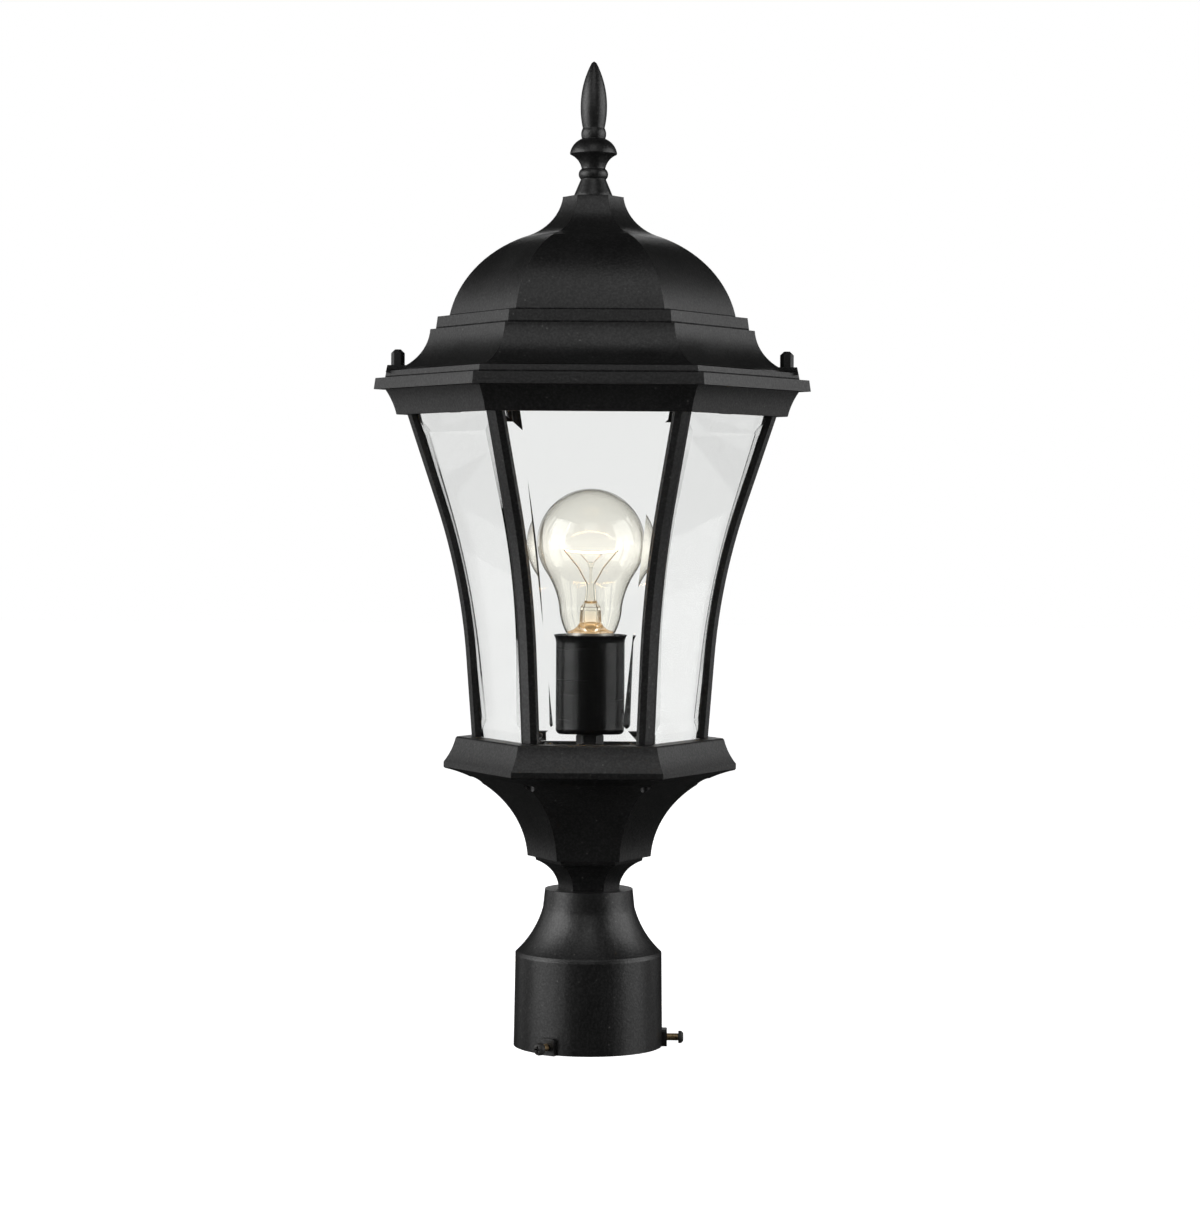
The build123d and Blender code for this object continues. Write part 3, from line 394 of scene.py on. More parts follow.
@dataclass(frozen=True)
class GlassFinish(Finish):
    """Clear glass that lets lamp light through to what is behind it, and may carry a painted glow."""

    colour: Colour
    tone: Colour
    ior: float
    wave: float
    glow: PaintedGlow | None = None

    def shader(self, recipe: Recipe) -> bpy.types.Node:
        """Adds the nodes of the look and returns the shader."""
        place = recipe.node("TexCoord").outputs["Object"]
        drift = recipe.node("TexNoise", {"Vector": place, "Scale": 1.0 / self.wave, "Detail": 2.0})
        base = recipe.mix(recipe.ramp(drift.outputs[0], *DRIFT_RANGE), self.colour, self.tone)
        glass = recipe.node(
            "BsdfPrincipled",
            {
                "Base Color": base,
                "Roughness": 0.0,
                "IOR": self.ior,
                "Transmission Weight": 1.0,
            },
        )
        # Painted glow: the glass itself emits, strongest at the filament's height, in place of light from
        # a lamp.
        if self.glow:
            recipe.tree.links.new(self.glow.colour_at(recipe, place), glass.inputs["Emission Color"])
            glass.inputs["Emission Strength"].default_value = self.glow.strength
        clear = recipe.node("BsdfTransparent", {"Color": self.colour})
        shadow = recipe.node("LightPath").outputs["Is Shadow Ray"]
        return recipe.node("MixShader", {0: shadow, 1: glass.outputs[0], 2: clear.outputs[0]})


@dataclass(frozen=True)
class SetScrewFinish(Finish):
    """Yellow plated shank with a dark head, parted by the distance from the upright axis."""

    shank: Colour
    head: Colour
    head_from: float
    pitch: float
    head_edge: float = 0.0002
    worn: Colour = (0.2, 0.13, 0.06)
    grime_scale: float = 900.0
    grime_range: tuple[float, float] = (0.35, 0.75)
    sheen_range: tuple[float, float] = (-0.5, 1.4)
    thread_relief: float = 0.00005
    thread_strength: float = 0.3

    def shader(self, recipe: Recipe) -> bpy.types.Node:
        """Adds the nodes of the look and returns the shader."""
        place = recipe.node("TexCoord").outputs["Object"]
        flat = recipe.node("VectorMath", {0: place, 1: (1.0, 1.0, 0.0)}, operation="MULTIPLY").outputs[0]
        reach = recipe.node("VectorMath", {0: flat}, operation="LENGTH").outputs["Value"]
        at_head = recipe.ramp(reach, self.head_from - self.head_edge, self.head_from)
        grimy = {"Vector": place, "Scale": self.grime_scale, "Detail": 3.0}
        grime = recipe.node("TexNoise", grimy).outputs[0]
        shank = recipe.mix(recipe.ramp(grime, *self.grime_range), self.shank, self.worn)
        winding = {"Vector": flat, "Scale": 1.0 / self.pitch}
        thread = recipe.node("TexWave", winding, bands_direction="X").outputs[1]
        return recipe.node(
            "BsdfPrincipled",
            {
                "Base Color": recipe.mix(at_head, shank, self.head),
                "Roughness": recipe.ramp(grime, *self.sheen_range),
                "Metallic": recipe.math("SUBTRACT", 1.0, at_head),
                "Normal": recipe.bump(thread, self.thread_relief, {"Strength": self.thread_strength}),
            },
        )


@dataclass(frozen=True)
class GlowFinish(Finish):
    """Hot wire that gives off light, a little yellower in places."""

    colour: Colour
    strength: float
    hot_colour: Colour = (1.0, 0.72, 0.42)
    metal: Colour = (0.32, 0.31, 0.3)
    heat_scale: float = 160.0

    def shader(self, recipe: Recipe) -> bpy.types.Node:
        """Adds the nodes of the look and returns the shader."""
        place = recipe.node("TexCoord").outputs["Object"]
        patches = {"Vector": place, "Scale": self.heat_scale, "Detail": 1.0}
        heat = recipe.ramp(recipe.node("TexNoise", patches).outputs[0], *DRIFT_RANGE)
        return recipe.node(
            "BsdfPrincipled",
            {
                "Base Color": self.metal,
                "Roughness": 0.4,
                "Metallic": 1.0,
                "Emission Color": recipe.mix(heat, self.colour, self.hot_colour),
                "Emission Strength": self.strength,
            },
        )


CASTING_SEAMS = (
    Seam(0.4076, 0.0011),
    Seam(0.4005, 0.0011),
    Seam(0.377, 0.0011),
    Seam(0.3733, 0.0008),
    Seam(0.0521, 0.0009, below=0.0013, lift=-0.0004),
)
POWDER_COAT = CoatFinish(
    "powder_coat",
    (0.004, 0.004, 0.004),
    (0.006, 0.006, 0.006),
    roughness=0.38,
    grain=0.0013,
    relief=0.00011,
    speck_share=0.003,
    speck_colour=(0.08, 0.08, 0.075),
    glint=0.35,
    seams=CASTING_SEAMS,
)
BLACK_SCREW = CoatFinish(
    "black_screw", (0.012, 0.012, 0.012), (0.02, 0.02, 0.02), roughness=0.36, grain=0.0004, relief=0.00001
)
MOULDED_PHENOLIC = CoatFinish(
    "moulded_phenolic",
    (0.03, 0.026, 0.022),
    (0.045, 0.04, 0.034),
    roughness=0.5,
    grain=0.0006,
    relief=0.00002,
)
LAMP_INSULATOR = CoatFinish(
    "lamp_insulator", (0.02, 0.02, 0.022), (0.03, 0.03, 0.03), roughness=0.25, grain=0.0008, relief=0.00001
)
CUP_ENAMEL = TurnedFinish(
    "cup_enamel", (0.001, 0.001, 0.001), (0.002, 0.002, 0.002), 0.25, 0.0, pitch=0.0007, relief=0.000003
)
ZINC_PLATE = TurnedFinish(
    "zinc_plate", (0.56, 0.56, 0.54), (0.42, 0.42, 0.41), 0.34, 1.0, pitch=0.0005, relief=0.000006
)
DRAWN_BRASS = TurnedFinish(
    "drawn_brass", (0.72, 0.52, 0.24), (0.6, 0.42, 0.18), 0.28, 1.0, pitch=0.0006, relief=0.000004
)
LAMP_BASE_METAL = TurnedFinish(
    "lamp_base", (0.74, 0.73, 0.7), (0.6, 0.58, 0.54), 0.3, 1.0, pitch=0.0009, relief=0.000006
)
LEAD_WIRE = TurnedFinish(
    "bare_lead_wire", (0.6, 0.52, 0.4), (0.48, 0.4, 0.3), 0.3, 1.0, pitch=0.0006, relief=0.000002
)
PANE_GLASS = GlassFinish("bent_pane_glass", (0.985, 0.99, 0.985), (0.98, 0.986, 0.98), ior=1.52, wave=0.05)
# The bulb glass carries a painted glow, warm emission round the filament's height.
BULB_GLASS = GlassFinish(
    "blown_glass", (0.99, 0.985, 0.95), (0.985, 0.978, 0.94), ior=1.5, wave=0.03, glow=PaintedGlow()
)
# Painted glow on the stem glass, warm and orange at the stem's flare.
STEM_PAINTED_GLOW = PaintedGlow((1.0, 0.62, 0.28), height=0.232, spread=0.009, strength=0.13)
STEM_GLASS = GlassFinish(
    "stem_glass", (0.985, 0.975, 0.94), (0.98, 0.965, 0.92), ior=1.54, wave=0.004, glow=STEM_PAINTED_GLOW
)
SET_SCREW = SetScrewFinish(
    "set_screw", shank=(0.62, 0.46, 0.26), head=(0.02, 0.019, 0.018), head_from=0.0506, pitch=0.0007
)
HOT_TUNGSTEN = GlowFinish("hot_tungsten", (1.0, 0.6, 0.28), strength=400.0)


# ---- working with meshes ------------------------------------------------------------------------


def deselect_all() -> None:
    """Leaves nothing selected, so that an operator acts on the new piece alone."""
    if bpy.context.object and bpy.context.object.mode != "OBJECT":
        bpy.ops.object.mode_set(mode="OBJECT")
    for piece in bpy.context.selected_objects:
        piece.select_set(False)


def start_editing(piece: bpy.types.Object) -> None:
    """Opens one piece in edit mode with all of it selected."""
    deselect_all()
    bpy.context.view_layer.objects.active = piece
    piece.select_set(True)
    bpy.ops.object.mode_set(mode="EDIT")
    bpy.ops.mesh.select_mode(type="VERT")
    bpy.ops.mesh.select_all(action="SELECT")


def pick(piece: bpy.types.Object, wanted: Callable[[Vector], bool]) -> None:
    """Selects the vertices of a piece in edit mode whose places are wanted."""
    mesh = bmesh.from_edit_mesh(piece.data)
    for corner in mesh.verts:
        corner.select_set(wanted(corner.co))
    mesh.select_flush_mode()
    bmesh.update_edit_mesh(piece.data)


def stop_editing(piece: bpy.types.Object) -> None:
    """Closes the edit mode of a piece."""
    bpy.context.view_layer.objects.active = piece
    bpy.ops.object.mode_set(mode="OBJECT")


def apply_modifier(piece: bpy.types.Object, kind: str, **settings: object) -> None:
    """Adds one modifier with its settings and applies it."""
    deselect_all()
    bpy.context.view_layer.objects.active = piece
    piece.select_set(True)
    modifier = piece.modifiers.new(kind.lower(), kind)
    for name, value in settings.items():
        setattr(modifier, name, value)
    bpy.ops.object.modifier_apply(modifier=modifier.name)


def smooth_below(piece: bpy.types.Object, degrees: float) -> None:
    """Shades a piece smooth, with sharp edges where its faces meet at more than an angle."""
    deselect_all()
    bpy.context.view_layer.objects.active = piece
    piece.select_set(True)
    bpy.ops.object.shade_smooth_by_angle(angle=radians(degrees))
    piece.select_set(False)


def arc_points(start: tuple, through: tuple, end: tuple, steps: int) -> Outline:
    """Points on the arc through three points, from just after its start to its end."""
    ax, az = start
    bx, bz = through
    cx, cz = end
    twice_area = 2 * (ax * (bz - cz) + bx * (cz - az) + cx * (az - bz))
    a2, b2, c2 = ax**2 + az**2, bx**2 + bz**2, cx**2 + cz**2
    mx = (a2 * (bz - cz) + b2 * (cz - az) + c2 * (az - bz)) / twice_area
    mz = (a2 * (cx - bx) + b2 * (ax - cx) + c2 * (bx - ax)) / twice_area
    first, middle, last = (atan2(z - mz, x - mx) for x, z in (start, through, end))
    turn = (last - first) % (2 * pi)
    if (middle - first) % (2 * pi) > turn:
        turn -= 2 * pi
    radius = sqrt((ax - mx) ** 2 + (az - mz) ** 2)
    angles = [first + turn * i / steps for i in range(1, steps + 1)]
    return [(mx + radius * cos(angle), mz + radius * sin(angle)) for angle in angles]


def bowed_points(start: tuple, end: tuple, bow: float, steps: int) -> Outline:
    """Points on an arc whose height is a share of its chord, positive to the left on the way."""
    middle = (
        (start[0] + end[0]) / 2 - bow * (end[1] - start[1]),
        (start[1] + end[1]) / 2 + bow * (end[0] - start[0]),
    )
    return arc_points(start, middle, end, steps)


def turned_piece(name: str, outline: Outline, steps: int) -> bpy.types.Object:
    """Draws an outline vertex by vertex and spins it round the upright axis.

    Args:
        name: the new piece's name.
        outline: (radius, height) points, in metres.
        steps: how many sides the turning gets.

    Returns:
        The spun surface, its doubles merged and its faces pointing outwards.
    """
    deselect_all()
    bpy.ops.mesh.primitive_plane_add(location=ORIGIN)
    piece = bpy.context.object
    piece.name = piece.data.name = name
    start_editing(piece)
    bpy.ops.mesh.merge(type="CENTER")
    x, z = outline[0]
    bpy.ops.transform.translate(value=(x, 0.0, z))
    for here, there in zip(outline, outline[1:]):
        step = (there[0] - here[0], 0.0, there[1] - here[1])
        bpy.ops.mesh.extrude_vertices_move(TRANSFORM_OT_translate={"value": step})
    bpy.ops.mesh.select_all(action="SELECT")
    bpy.ops.mesh.spin(steps=steps, angle=2 * pi, center=ORIGIN, axis=(0.0, 0.0, 1.0))
    bpy.ops.mesh.select_all(action="SELECT")
    bpy.ops.mesh.remove_doubles(threshold=MERGE_GAP)
    bpy.ops.mesh.normals_make_consistent(inside=False)
    stop_editing(piece)
    return piece


def dress(piece: bpy.types.Object, material: bpy.types.Material) -> None:
    """Gives a piece one material all over."""
    piece.data.materials.clear()
    piece.data.materials.append(material)


@dataclass
class ArrisRounding:
    """How far the sharp edges of a cast or cut piece are rounded over."""

    width: float
    segments: int = 3
    from_angle: float = 24.0
    flat_below: float = 0.3
    face_weight: int = 80

    def apply_to(self, piece: bpy.types.Object) -> None:
        """Adds the modifiers that merge the facets, round the arrises and smooth the faces."""
        weld = piece.modifiers.new("weld", "WELD")
        weld.merge_threshold = 2 * MERGE_GAP
        flats = piece.modifiers.new("flats", "DECIMATE")
        flats.decimate_type = "DISSOLVE"
        flats.angle_limit = radians(self.flat_below)
        rounding = piece.modifiers.new("arrises", "BEVEL")
        rounding.limit_method = "ANGLE"
        rounding.angle_limit = radians(self.from_angle)
        rounding.width = self.width
        rounding.segments = self.segments
        rounding.use_clamp_overlap = True
        rounding.loop_slide = False
        normals = piece.modifiers.new("normals", "WEIGHTED_NORMAL")
        normals.weight = self.face_weight


# ---- sub-assemblies -----------------------------------------------------------------------------


@dataclass
class CadPart:
    """CAD nodes that keep their shape and share one finish."""

    nodes: tuple[str, ...]
    finish: Finish
    rounding: ArrisRounding | None = None

    def build(self, frame: dict) -> None:
        """Dresses the nodes and rounds their arrises."""
        for name in self.nodes:
            piece = frame["nodes"][name]
            dress(piece, self.finish.material())
            if self.rounding:
                self.rounding.apply_to(piece)
            LOG.info("dressed %s in %s", name, self.finish.name)


def numbered(stem: str, count: int) -> tuple[str, ...]:
    """Names of repeated nodes, numbered from 1."""
    return tuple(f"{stem}_{i}" for i in range(1, count + 1))


@dataclass
class RibLine:
    """Line of the ribs' outer crown, seen on a corner: straight, bent, straight."""

    top_radius: float = 0.1032
    top_height: float = 0.3526
    top_lean: float = radians(18.4)
    foot_radius: float = 0.0661
    foot_height: float = 0.1725
    foot_lean: float = radians(4.3)
    bend_radius: float = 0.355

    def crown(self, height: float) -> float:
        """Corner radius of the crown at a height."""
        up, low = tan(self.top_lean), tan(self.foot_lean)
        apart = self.top_radius - up * self.top_height - self.foot_radius + low * self.foot_height
        meet_z = apart / (low - up)
        meet_r = self.top_radius - up * (self.top_height - meet_z)
        reach = self.bend_radius * tan((self.top_lean - self.foot_lean) / 2)
        if height >= meet_z + reach * cos(self.top_lean):
            return self.top_radius - up * (self.top_height - height)
        low_r = meet_r - reach * sin(self.foot_lean)
        low_z = meet_z - reach * cos(self.foot_lean)
        if height <= low_z:
            return self.foot_radius + low * (height - self.foot_height)
        centre_r = low_r + self.bend_radius * cos(self.foot_lean)
        centre_z = low_z - self.bend_radius * sin(self.foot_lean)
        return centre_r - sqrt(self.bend_radius**2 - (height - centre_z) ** 2)


@dataclass
class GlassPanes:
    """Six bent panes with a ground bevel round each clear field."""

    line: RibLine
    thickness: float = 0.0032
    inset: float = 0.0016
    edge_gap: float = 0.0018
    foot: float = 0.1716
    head: float = 0.3536
    field_foot: float = 0.1831
    field_head: float = 0.34254
    bevel_drop: float = 0.00125
    side_bevel: float = 0.0107
    rows: int = 44
    blank: float = 0.06
    slope_step: float = 0.001
    sharp_above: float = 3.0
    first_side: float = 120.0

    def face(self, height: float) -> float:
        """Distance of the clear field from the axis."""
        return self.line.crown(height) * COS30 - self.inset

    def half_width(self, distance: float) -> float:
        """Half the pane's width at a distance from the axis."""
        return distance * TAN30 - self.edge_gap / COS30

    def field_half(self, height: float) -> float:
        """Half the clear field's width, between straight sides."""
        low, high = (
            self.half_width(self.face(end) - self.bevel_drop) - self.side_bevel
            for end in (self.field_foot, self.field_head)
        )
        return low + (high - low) * (height - self.field_foot) / (self.field_head - self.field_foot)

    def levels(self) -> list[float]:
        """Heights of the pane's rows, from its foot to its head."""
        rise = (self.field_head - self.field_foot) / self.rows
        return [self.foot, *(self.field_foot + rise * i for i in range(self.rows + 1)), self.head]

    def spread_row(self, piece: bpy.types.Object, height: float) -> None:
        """Sets the widths of the row that is selected at a height: its outer and its inner pair."""
        outer = self.half_width(self.face(height) - self.bevel_drop)
        inner = self.field_half(height)
        row = sorted((v for v in bmesh.from_edit_mesh(piece.data).verts if v.select), key=lambda v: v.co.x)
        for pair, half in (((row[0], row[3]), outer), ((row[1], row[2]), inner)):
            for corner, side in zip(pair, (-1.0, 1.0)):
                corner.co.x = side * half
        bmesh.update_edit_mesh(piece.data)

    def sheet(self) -> bpy.types.Object:
        """Draws the front face on the -Y side, row by row from its foot up."""
        levels = self.levels()
        deselect_all()
        bpy.ops.mesh.primitive_grid_add(
            x_subdivisions=3, y_subdivisions=1, size=self.blank, location=ORIGIN
        )
        piece = bpy.context.object
        piece.name = piece.data.name = "glass_pane"
        start_editing(piece)
        pick(piece, lambda place: place.y > 0)
        bpy.ops.mesh.delete(type="VERT")
        bpy.ops.mesh.select_all(action="SELECT")
        back = self.blank / 2 - self.face(levels[0])
        bpy.ops.transform.translate(value=(0.0, back, levels[0]))
        self.spread_row(piece, levels[0])
        for low, high in zip(levels, levels[1:]):
            step = (0.0, self.face(low) - self.face(high), high - low)
            bpy.ops.mesh.extrude_edges_move(TRANSFORM_OT_translate={"value": step})
            self.spread_row(piece, high)
        bpy.ops.mesh.select_all(action="SELECT")
        bpy.ops.mesh.normals_make_consistent(inside=False)
        stop_editing(piece)
        if piece.data.polygons[0].normal.y > 0:
            start_editing(piece)
            bpy.ops.mesh.flip_normals()
            stop_editing(piece)
        return piece

    def grind(self, piece: bpy.types.Object, front: int) -> None:
        """Presses the pane's rim back, which leaves the sloping bevels, and merges the mitred corners."""
        start_editing(piece)
        mesh = bmesh.from_edit_mesh(piece.data)
        mesh.verts.ensure_lookup_table()
        for corner in mesh.verts:
            corner.select_set(False)
        for corner in mesh.verts[:front]:
            height = corner.co.z
            outer = self.half_width(self.face(height) - self.bevel_drop)
            end_row = min(height - self.foot, self.head - height) < TOUCH_GAP
            rim = abs(corner.co.x) > outer - TOUCH_GAP
            behind = mesh.verts[corner.index + front]
            if end_row:
                slope = (self.face(height + self.slope_step) - self.face(height)) / self.slope_step
                behind.co.y -= (height - behind.co.z) * slope
                behind.co.z = height
            if rim:
                behind.co.x = self.half_width(-behind.co.y) * (1 if corner.co.x > 0 else -1)
            if end_row:
                corner.co.x = outer if corner.co.x > 0 else -outer
            corner.select_set(end_row or rim)
        mesh.select_flush_mode()
        bmesh.update_edit_mesh(piece.data)
        bpy.ops.transform.translate(value=(0.0, self.bevel_drop, 0.0))
        bpy.ops.mesh.select_all(action="SELECT")
        bpy.ops.mesh.remove_doubles(threshold=TOUCH_GAP)
        bpy.ops.mesh.normals_make_consistent(inside=False)
        stop_editing(piece)

    def build(self) -> None:
        """Makes one pane and copies it to the six sides."""
        piece = self.sheet()
        front = len(piece.data.vertices)
        apply_modifier(piece, "SOLIDIFY", thickness=self.thickness, offset=-1.0, use_even_offset=True)
        self.grind(piece, front)
        smooth_below(piece, self.sharp_above)
        dress(piece, PANE_GLASS.material())
        for i in range(SIDES):
            pane = piece.copy()
            pane.data = piece.data.copy()
            bpy.context.scene.collection.objects.link(pane)
            pane.data.transform(Matrix.Rotation(radians(self.first_side + SIDE_TURN * i), 4, "Z"))
            pane.name = pane.data.name = f"bent_pane_{i + 1}"
            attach(pane, Body.ROOT.value)
            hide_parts(f"glass_pane_{i + 1}")
            LOG.info("built %s", pane.name)
        bpy.data.objects.remove(piece)


@dataclass
class LampBulb:
    """Blown bulb with its wall, over the CAD stem, wires and base."""

    radius: float = 0.0301
    centre: float = 0.282
    foot: tuple[float, float] = (0.0137, 0.2313)
    hip: tuple[float, float] = (0.0176, 0.2465)
    swell: tuple[float, float] = (0.0205, 0.2568)
    foot_bow: float = -0.0544
    join_angle: float = radians(-32.0)
    shoulder_angle: float = radians(25.0)
    steps: tuple[int, int, int] = (12, 18, 44)
    wall: float = 0.0006
    sides: int = 96
    sharp_above: float = 40.0

    def on_ball(self, angle: float) -> tuple[float, float]:
        """Radius and height of the round part at an angle above its middle."""
        return (self.radius * cos(angle), self.centre + self.radius * sin(angle))

    def outline(self) -> Outline:
        """Outer outline from the foot to the crown."""
        join = self.on_ball(self.join_angle)
        crown = (0.0, self.centre + self.radius)
        neck_steps, waist_steps, ball_steps = self.steps
        return [
            self.foot,
            *bowed_points(self.foot, self.hip, self.foot_bow, neck_steps),
            *arc_points(self.hip, self.swell, join, waist_steps),
            *arc_points(join, self.on_ball(self.shoulder_angle), crown, ball_steps),
        ]

    def build(self) -> None:
        """Makes the blown envelope."""
        piece = turned_piece("blown_envelope", self.outline(), self.sides)
        apply_modifier(piece, "SOLIDIFY", thickness=self.wall, offset=-1.0, use_even_offset=True)
        smooth_below(piece, self.sharp_above)
        dress(piece, BULB_GLASS.material())
        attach(piece, Body.BULB.value)
        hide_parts("bulb_envelope")
        LOG.info("built %s", piece.name)


@dataclass
class Filament:
    """Coiled tungsten wire between the lead wires, which sags and bows forward in the middle."""

    half_length: float = 0.0146
    height: float = 0.2775
    sag: float = 0.0012
    offset: float = 0.0009
    bow: float = 0.0015
    coil_radius: float = 0.00042
    wire_radius: float = 0.00007
    wire_sides: int = 6
    turns: int = 60
    steps: int = 10
    sharp_above: float = 60.0

    def build(self) -> None:
        """Winds the coil, bends it and closes its ends."""
        pitch = 2 * self.half_length / self.turns
        start = (-self.half_length, 0.0, self.coil_radius)
        deselect_all()
        bpy.ops.mesh.primitive_circle_add(
            vertices=self.wire_sides, radius=self.wire_radius, location=start, rotation=(pi / 2, 0.0, 0.0)
        )
        piece = bpy.context.object
        piece.name = piece.data.name = "coiled_filament"
        bpy.ops.object.transform_apply(location=True, rotation=True, scale=True)
        apply_modifier(
            piece,
            "SCREW",
            axis="X",
            screw_offset=pitch,
            iterations=self.turns,
            steps=self.steps,
            render_steps=self.steps,
        )
        start_editing(piece)
        mesh = bmesh.from_edit_mesh(piece.data)
        for corner in mesh.verts:
            middle = 1.0 - (corner.co.x / self.half_length) ** 2
            corner.co.y += self.offset + self.bow * middle
            corner.co.z += self.height - self.sag * middle
        bmesh.update_edit_mesh(piece.data)
        bpy.ops.mesh.select_all(action="DESELECT")
        bpy.ops.mesh.select_non_manifold()
        bpy.ops.mesh.edge_face_add()
        bpy.ops.mesh.select_all(action="SELECT")
        bpy.ops.mesh.normals_make_consistent(inside=False)
        stop_editing(piece)
        smooth_below(piece, self.sharp_above)
        dress(piece, HOT_TUNGSTEN.material())
        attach(piece, Body.BULB.value)
        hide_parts("bulb_filament")
        LOG.info("built %s", piece.name)


# ---- studio -------------------------------------------------------------------------------------


@dataclass(frozen=True)
class SoftBox:
    """One soft rectangular lamp, hung round the lantern and turned to its middle.

    The azimuth runs from the front to the right and the elevation from level upwards, both in degrees. The
    radiance is 1 where the lamp would look as bright as white paper does in the render.
    """

    name: str
    azimuth: float
    elevation: float
    width: float
    height: float
    radiance: float
    seen_in_glass: bool = True
    distance: float = 1.4
    middle: Point = (0.0, 0.0, 0.3)

    def build(self) -> None:
        """Hangs the lamp and sets its power from its radiance and area."""
        around, up = radians(self.azimuth), radians(self.elevation)
        reach = Vector((sin(around) * cos(up), -cos(around) * cos(up), sin(up))) * self.distance
        lamp = bpy.data.lights.new(self.name, "AREA")
        lamp.shape = "RECTANGLE"
        lamp.size, lamp.size_y = self.width, self.height
        lamp.energy = self.radiance * pi * self.width * self.height
        hung = bpy.data.objects.new(self.name, lamp)
        hung.location = Vector(self.middle) + reach
        hung.rotation_euler = (-reach).to_track_quat("-Z", "Y").to_euler()
        hung.visible_camera = False
        hung.visible_transmission = self.seen_in_glass
        bpy.context.scene.collection.objects.link(hung)


def seen_through_glass(recipe: Recipe) -> bpy.types.NodeSocket:
    """Mask of rays that come from the camera through glass and haven't been reflected."""
    ray = recipe.node("LightPath").outputs
    bounced = recipe.math("ADD", ray["Glossy Depth"], ray["Diffuse Depth"])
    straight = recipe.math("LESS_THAN", bounced, 0.5)
    return recipe.math("MULTIPLY", ray["Is Transmission Ray"], straight)


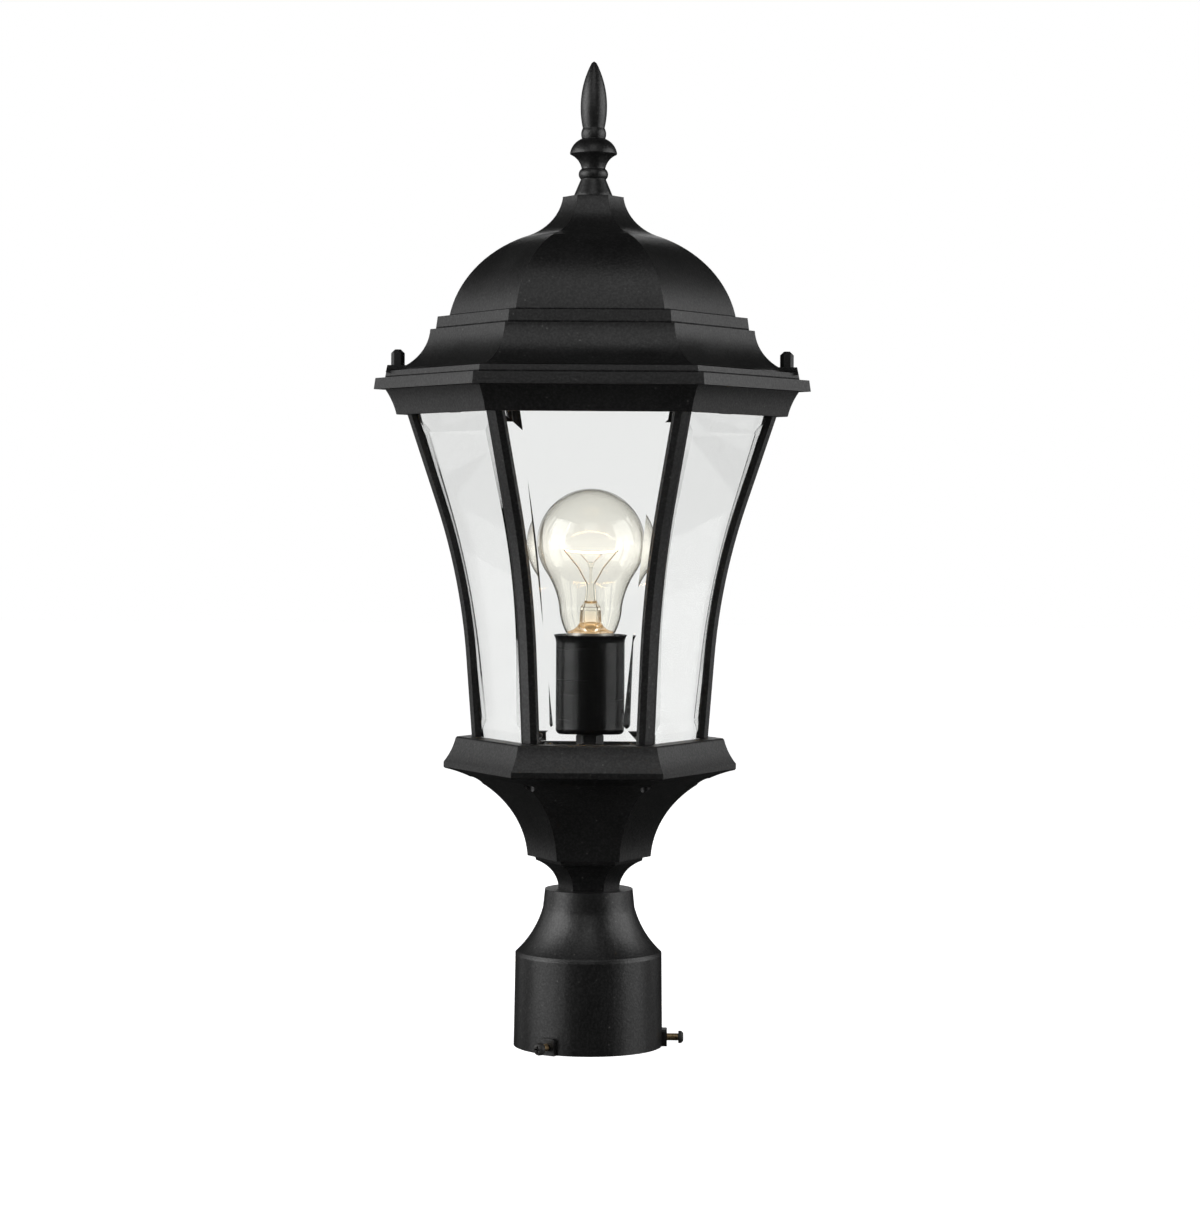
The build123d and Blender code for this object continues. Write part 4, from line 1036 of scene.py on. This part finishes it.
@dataclass
class Studio:
    """Camera, soft lamps, white surround and pale floor."""

    distance: float = 1.791
    eye_height: float = 0.3055
    azimuth: float = radians(1.1)
    yaw: float = radians(-0.161)
    pitch: float = radians(-0.93)
    roll: float = radians(0.37)
    lens: float = 94.79
    sensor: float = 36.0
    shift_up: float = -0.0458
    room: Colour = (0.02, 0.02, 0.02)
    room_on_matte: Colour = (0.25, 0.25, 0.25)
    behind: tuple[float, float] = (0.75, 0.9)
    behind_strength: float = 0.55
    floor_size: float = 12.0
    floor_pale: tuple[Colour, Colour] = ((0.8, 0.8, 0.8), (0.84, 0.84, 0.84))
    floor_dark: Colour = (0.02, 0.02, 0.02)
    floor_glow: float = 0.85
    floor_mottle: float = 3.0
    boxes: tuple[SoftBox, ...] = (
        SoftBox("left_box", -75.0, 17.0, 1.0, 1.05, 3.3),
        SoftBox("left_edge_box", -105.0, 17.0, 0.5, 1.05, 1.2),
        SoftBox("left_front_box", -45.0, 28.0, 0.5, 0.5, 1.7),
        SoftBox("left_low_box", -65.0, -15.0, 1.45, 0.5, 1.5),
        SoftBox("left_rear_box", -123.0, 2.0, 0.48, 1.1, 0.52),
        SoftBox("right_box", 85.0, 17.0, 1.45, 1.05, 2.25),
        SoftBox("right_low_box", 75.0, -15.0, 1.0, 0.5, 1.25),
        SoftBox("right_rear_box", 123.0, 2.0, 0.48, 1.1, 0.45),
        SoftBox("front_box", 0.0, 44.0, 0.7, 1.28, 0.95),
        SoftBox("back_box", 180.0, 20.0, 0.45, 0.6, 1.2, seen_in_glass=False),
    )

    def camera(self) -> None:
        """Sets the camera at the photograph's place."""
        lens = bpy.data.cameras.new("photo_camera")
        lens.lens = self.lens
        lens.sensor_width = self.sensor
        lens.shift_y = self.shift_up
        stand = bpy.data.objects.new("photo_camera", lens)
        bpy.context.scene.collection.objects.link(stand)
        across, back = self.distance * sin(self.azimuth), self.distance * cos(self.azimuth)
        stand.location = (across, -back, self.eye_height)
        heading = self.azimuth + self.yaw
        ahead = Vector((-sin(heading) * cos(self.pitch), cos(heading) * cos(self.pitch), sin(self.pitch)))
        turn = ahead.to_track_quat("-Z", "Y") @ Quaternion((0.0, 0.0, 1.0), self.roll)
        stand.rotation_euler = turn.to_euler()
        bpy.context.scene.camera = stand

    def surround(self) -> None:
        """White backdrop for camera and glass, in a dim room that the coat reflects.

        Glass also reflects the backdrop at a glancing angle, which keeps the bulb's outline light.
        """
        world = bpy.data.worlds.new("studio")
        world.use_nodes = True
        bpy.context.scene.world = world
        recipe = Recipe(world.node_tree)
        ray = recipe.node("LightPath").outputs
        way = recipe.node("TexCoord").outputs["Generated"]
        ahead = recipe.node("SeparateXYZ", {0: way}).outputs["Y"]
        mirrored = recipe.math("MULTIPLY", ray["Is Transmission Ray"], recipe.ramp(ahead, *self.behind))
        glancing = recipe.math("MULTIPLY", mirrored, self.behind_strength)
        plain = recipe.math("MAXIMUM", ray["Is Camera Ray"], seen_through_glass(recipe))
        white = recipe.math("MAXIMUM", plain, glancing)
        room = recipe.mix(ray["Is Diffuse Ray"], self.room, self.room_on_matte)
        colour = recipe.mix(white, room, WHITE)
        light = recipe.node("Background", {"Color": colour, "Strength": 1.0})
        recipe.node("OutputWorld", {"Surface": light.outputs[0]})

    def floor(self) -> None:
        """Lays a pale floor that keeps the object's shadow."""
        deselect_all()
        bpy.ops.mesh.primitive_plane_add(size=self.floor_size, location=ORIGIN)
        floor = bpy.context.object
        floor.name = "studio_floor"
        material, recipe = new_material("pale_floor")
        place = recipe.node("TexCoord").outputs["Object"]
        uneven = {"Vector": place, "Scale": self.floor_mottle, "Detail": 2.0}
        mottle = recipe.node("TexNoise", uneven).outputs[0]
        pale = recipe.mix(mottle, *self.floor_pale)
        ray = recipe.node("LightPath").outputs
        mirrored = recipe.ramp(ray["Glossy Depth"], 0.0, 1.0)
        matte = recipe.node("BsdfDiffuse", {"Color": recipe.mix(mirrored, pale, self.floor_dark)})
        lit = recipe.math("MULTIPLY", ray["Is Camera Ray"], self.floor_glow)
        glow = recipe.node("Emission", {"Color": WHITE, "Strength": lit})
        both = recipe.node("AddShader", {0: matte.outputs[0], 1: glow.outputs[0]})
        white = recipe.node("Emission", {"Color": WHITE})
        through = seen_through_glass(recipe)
        seen = recipe.node("MixShader", {0: through, 1: both.outputs[0], 2: white.outputs[0]})
        recipe.node("OutputMaterial", {"Surface": seen.outputs[0]})
        dress(floor, material)
        floor.visible_glossy = False
        floor.visible_shadow = False

    def build(self) -> None:
        """Sets up the whole studio."""
        self.camera()
        self.surround()
        for box in self.boxes:
            box.build()
        self.floor()
        bpy.context.scene.view_settings.view_transform = "Standard"
        LOG.info("set the studio with %d lamps", len(self.boxes))


def cad_parts() -> list[CadPart]:
    """The CAD nodes by finish, castings first."""
    soft = ArrisRounding(width=0.0009)
    fine = ArrisRounding(width=0.00025, segments=2)
    castings = ("fitter_collar", "base_casting", "top_ring", "roof", "finial", *numbered("rib", SIDES))
    black = ("floor_plate", "glass_clips", "clip_screws", "rib_screws_upper", "rib_screws_lower")
    zinc = (
        *("neck_tube", "neck_washer_lower", "neck_nut_lower", "neck_washer_upper", "neck_nut_upper"),
        *("socket_tube", "socket_nut_lower", "roof_studs"),
        *("finial_stud", "finial_lock_washer", "finial_nut"),
    )
    return [
        CadPart(castings, POWDER_COAT, soft),
        CadPart(("cap_nut_left", "cap_nut_right"), BLACK_SCREW, fine),
        CadPart(("floor_plate_screws", "socket_nut_upper", "socket_lock_washer", *black), BLACK_SCREW),
        CadPart(("socket_cup",), CUP_ENAMEL, fine),
        CadPart(zinc, ZINC_PLATE),
        CadPart(("socket_insulator",), MOULDED_PHENOLIC),
        CadPart(("socket_screw_shell", "socket_center_contact"), DRAWN_BRASS),
        CadPart(("bulb_base_shell", "bulb_base_contact"), LAMP_BASE_METAL),
        CadPart(("bulb_base_insulator",), LAMP_INSULATOR),
        CadPart(("bulb_stem",), STEM_GLASS),
        CadPart(("bulb_lead_wires", "bulb_supports"), LEAD_WIRE),
        CadPart(numbered("set_screw", 3), SET_SCREW),
    ]


def main() -> None:
    """Loads the frame, dresses and builds every piece, and sets the studio."""
    logging.basicConfig(level=logging.INFO, format="%(name)s: %(message)s")
    for leftover in list(bpy.data.objects):
        bpy.data.objects.remove(leftover)
    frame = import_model()
    Studio().build()
    for part in cad_parts():
        part.build(frame)
    GlassPanes(RibLine()).build()
    LampBulb().build()
    Filament().build()


if __name__ == "__main__":
    main()
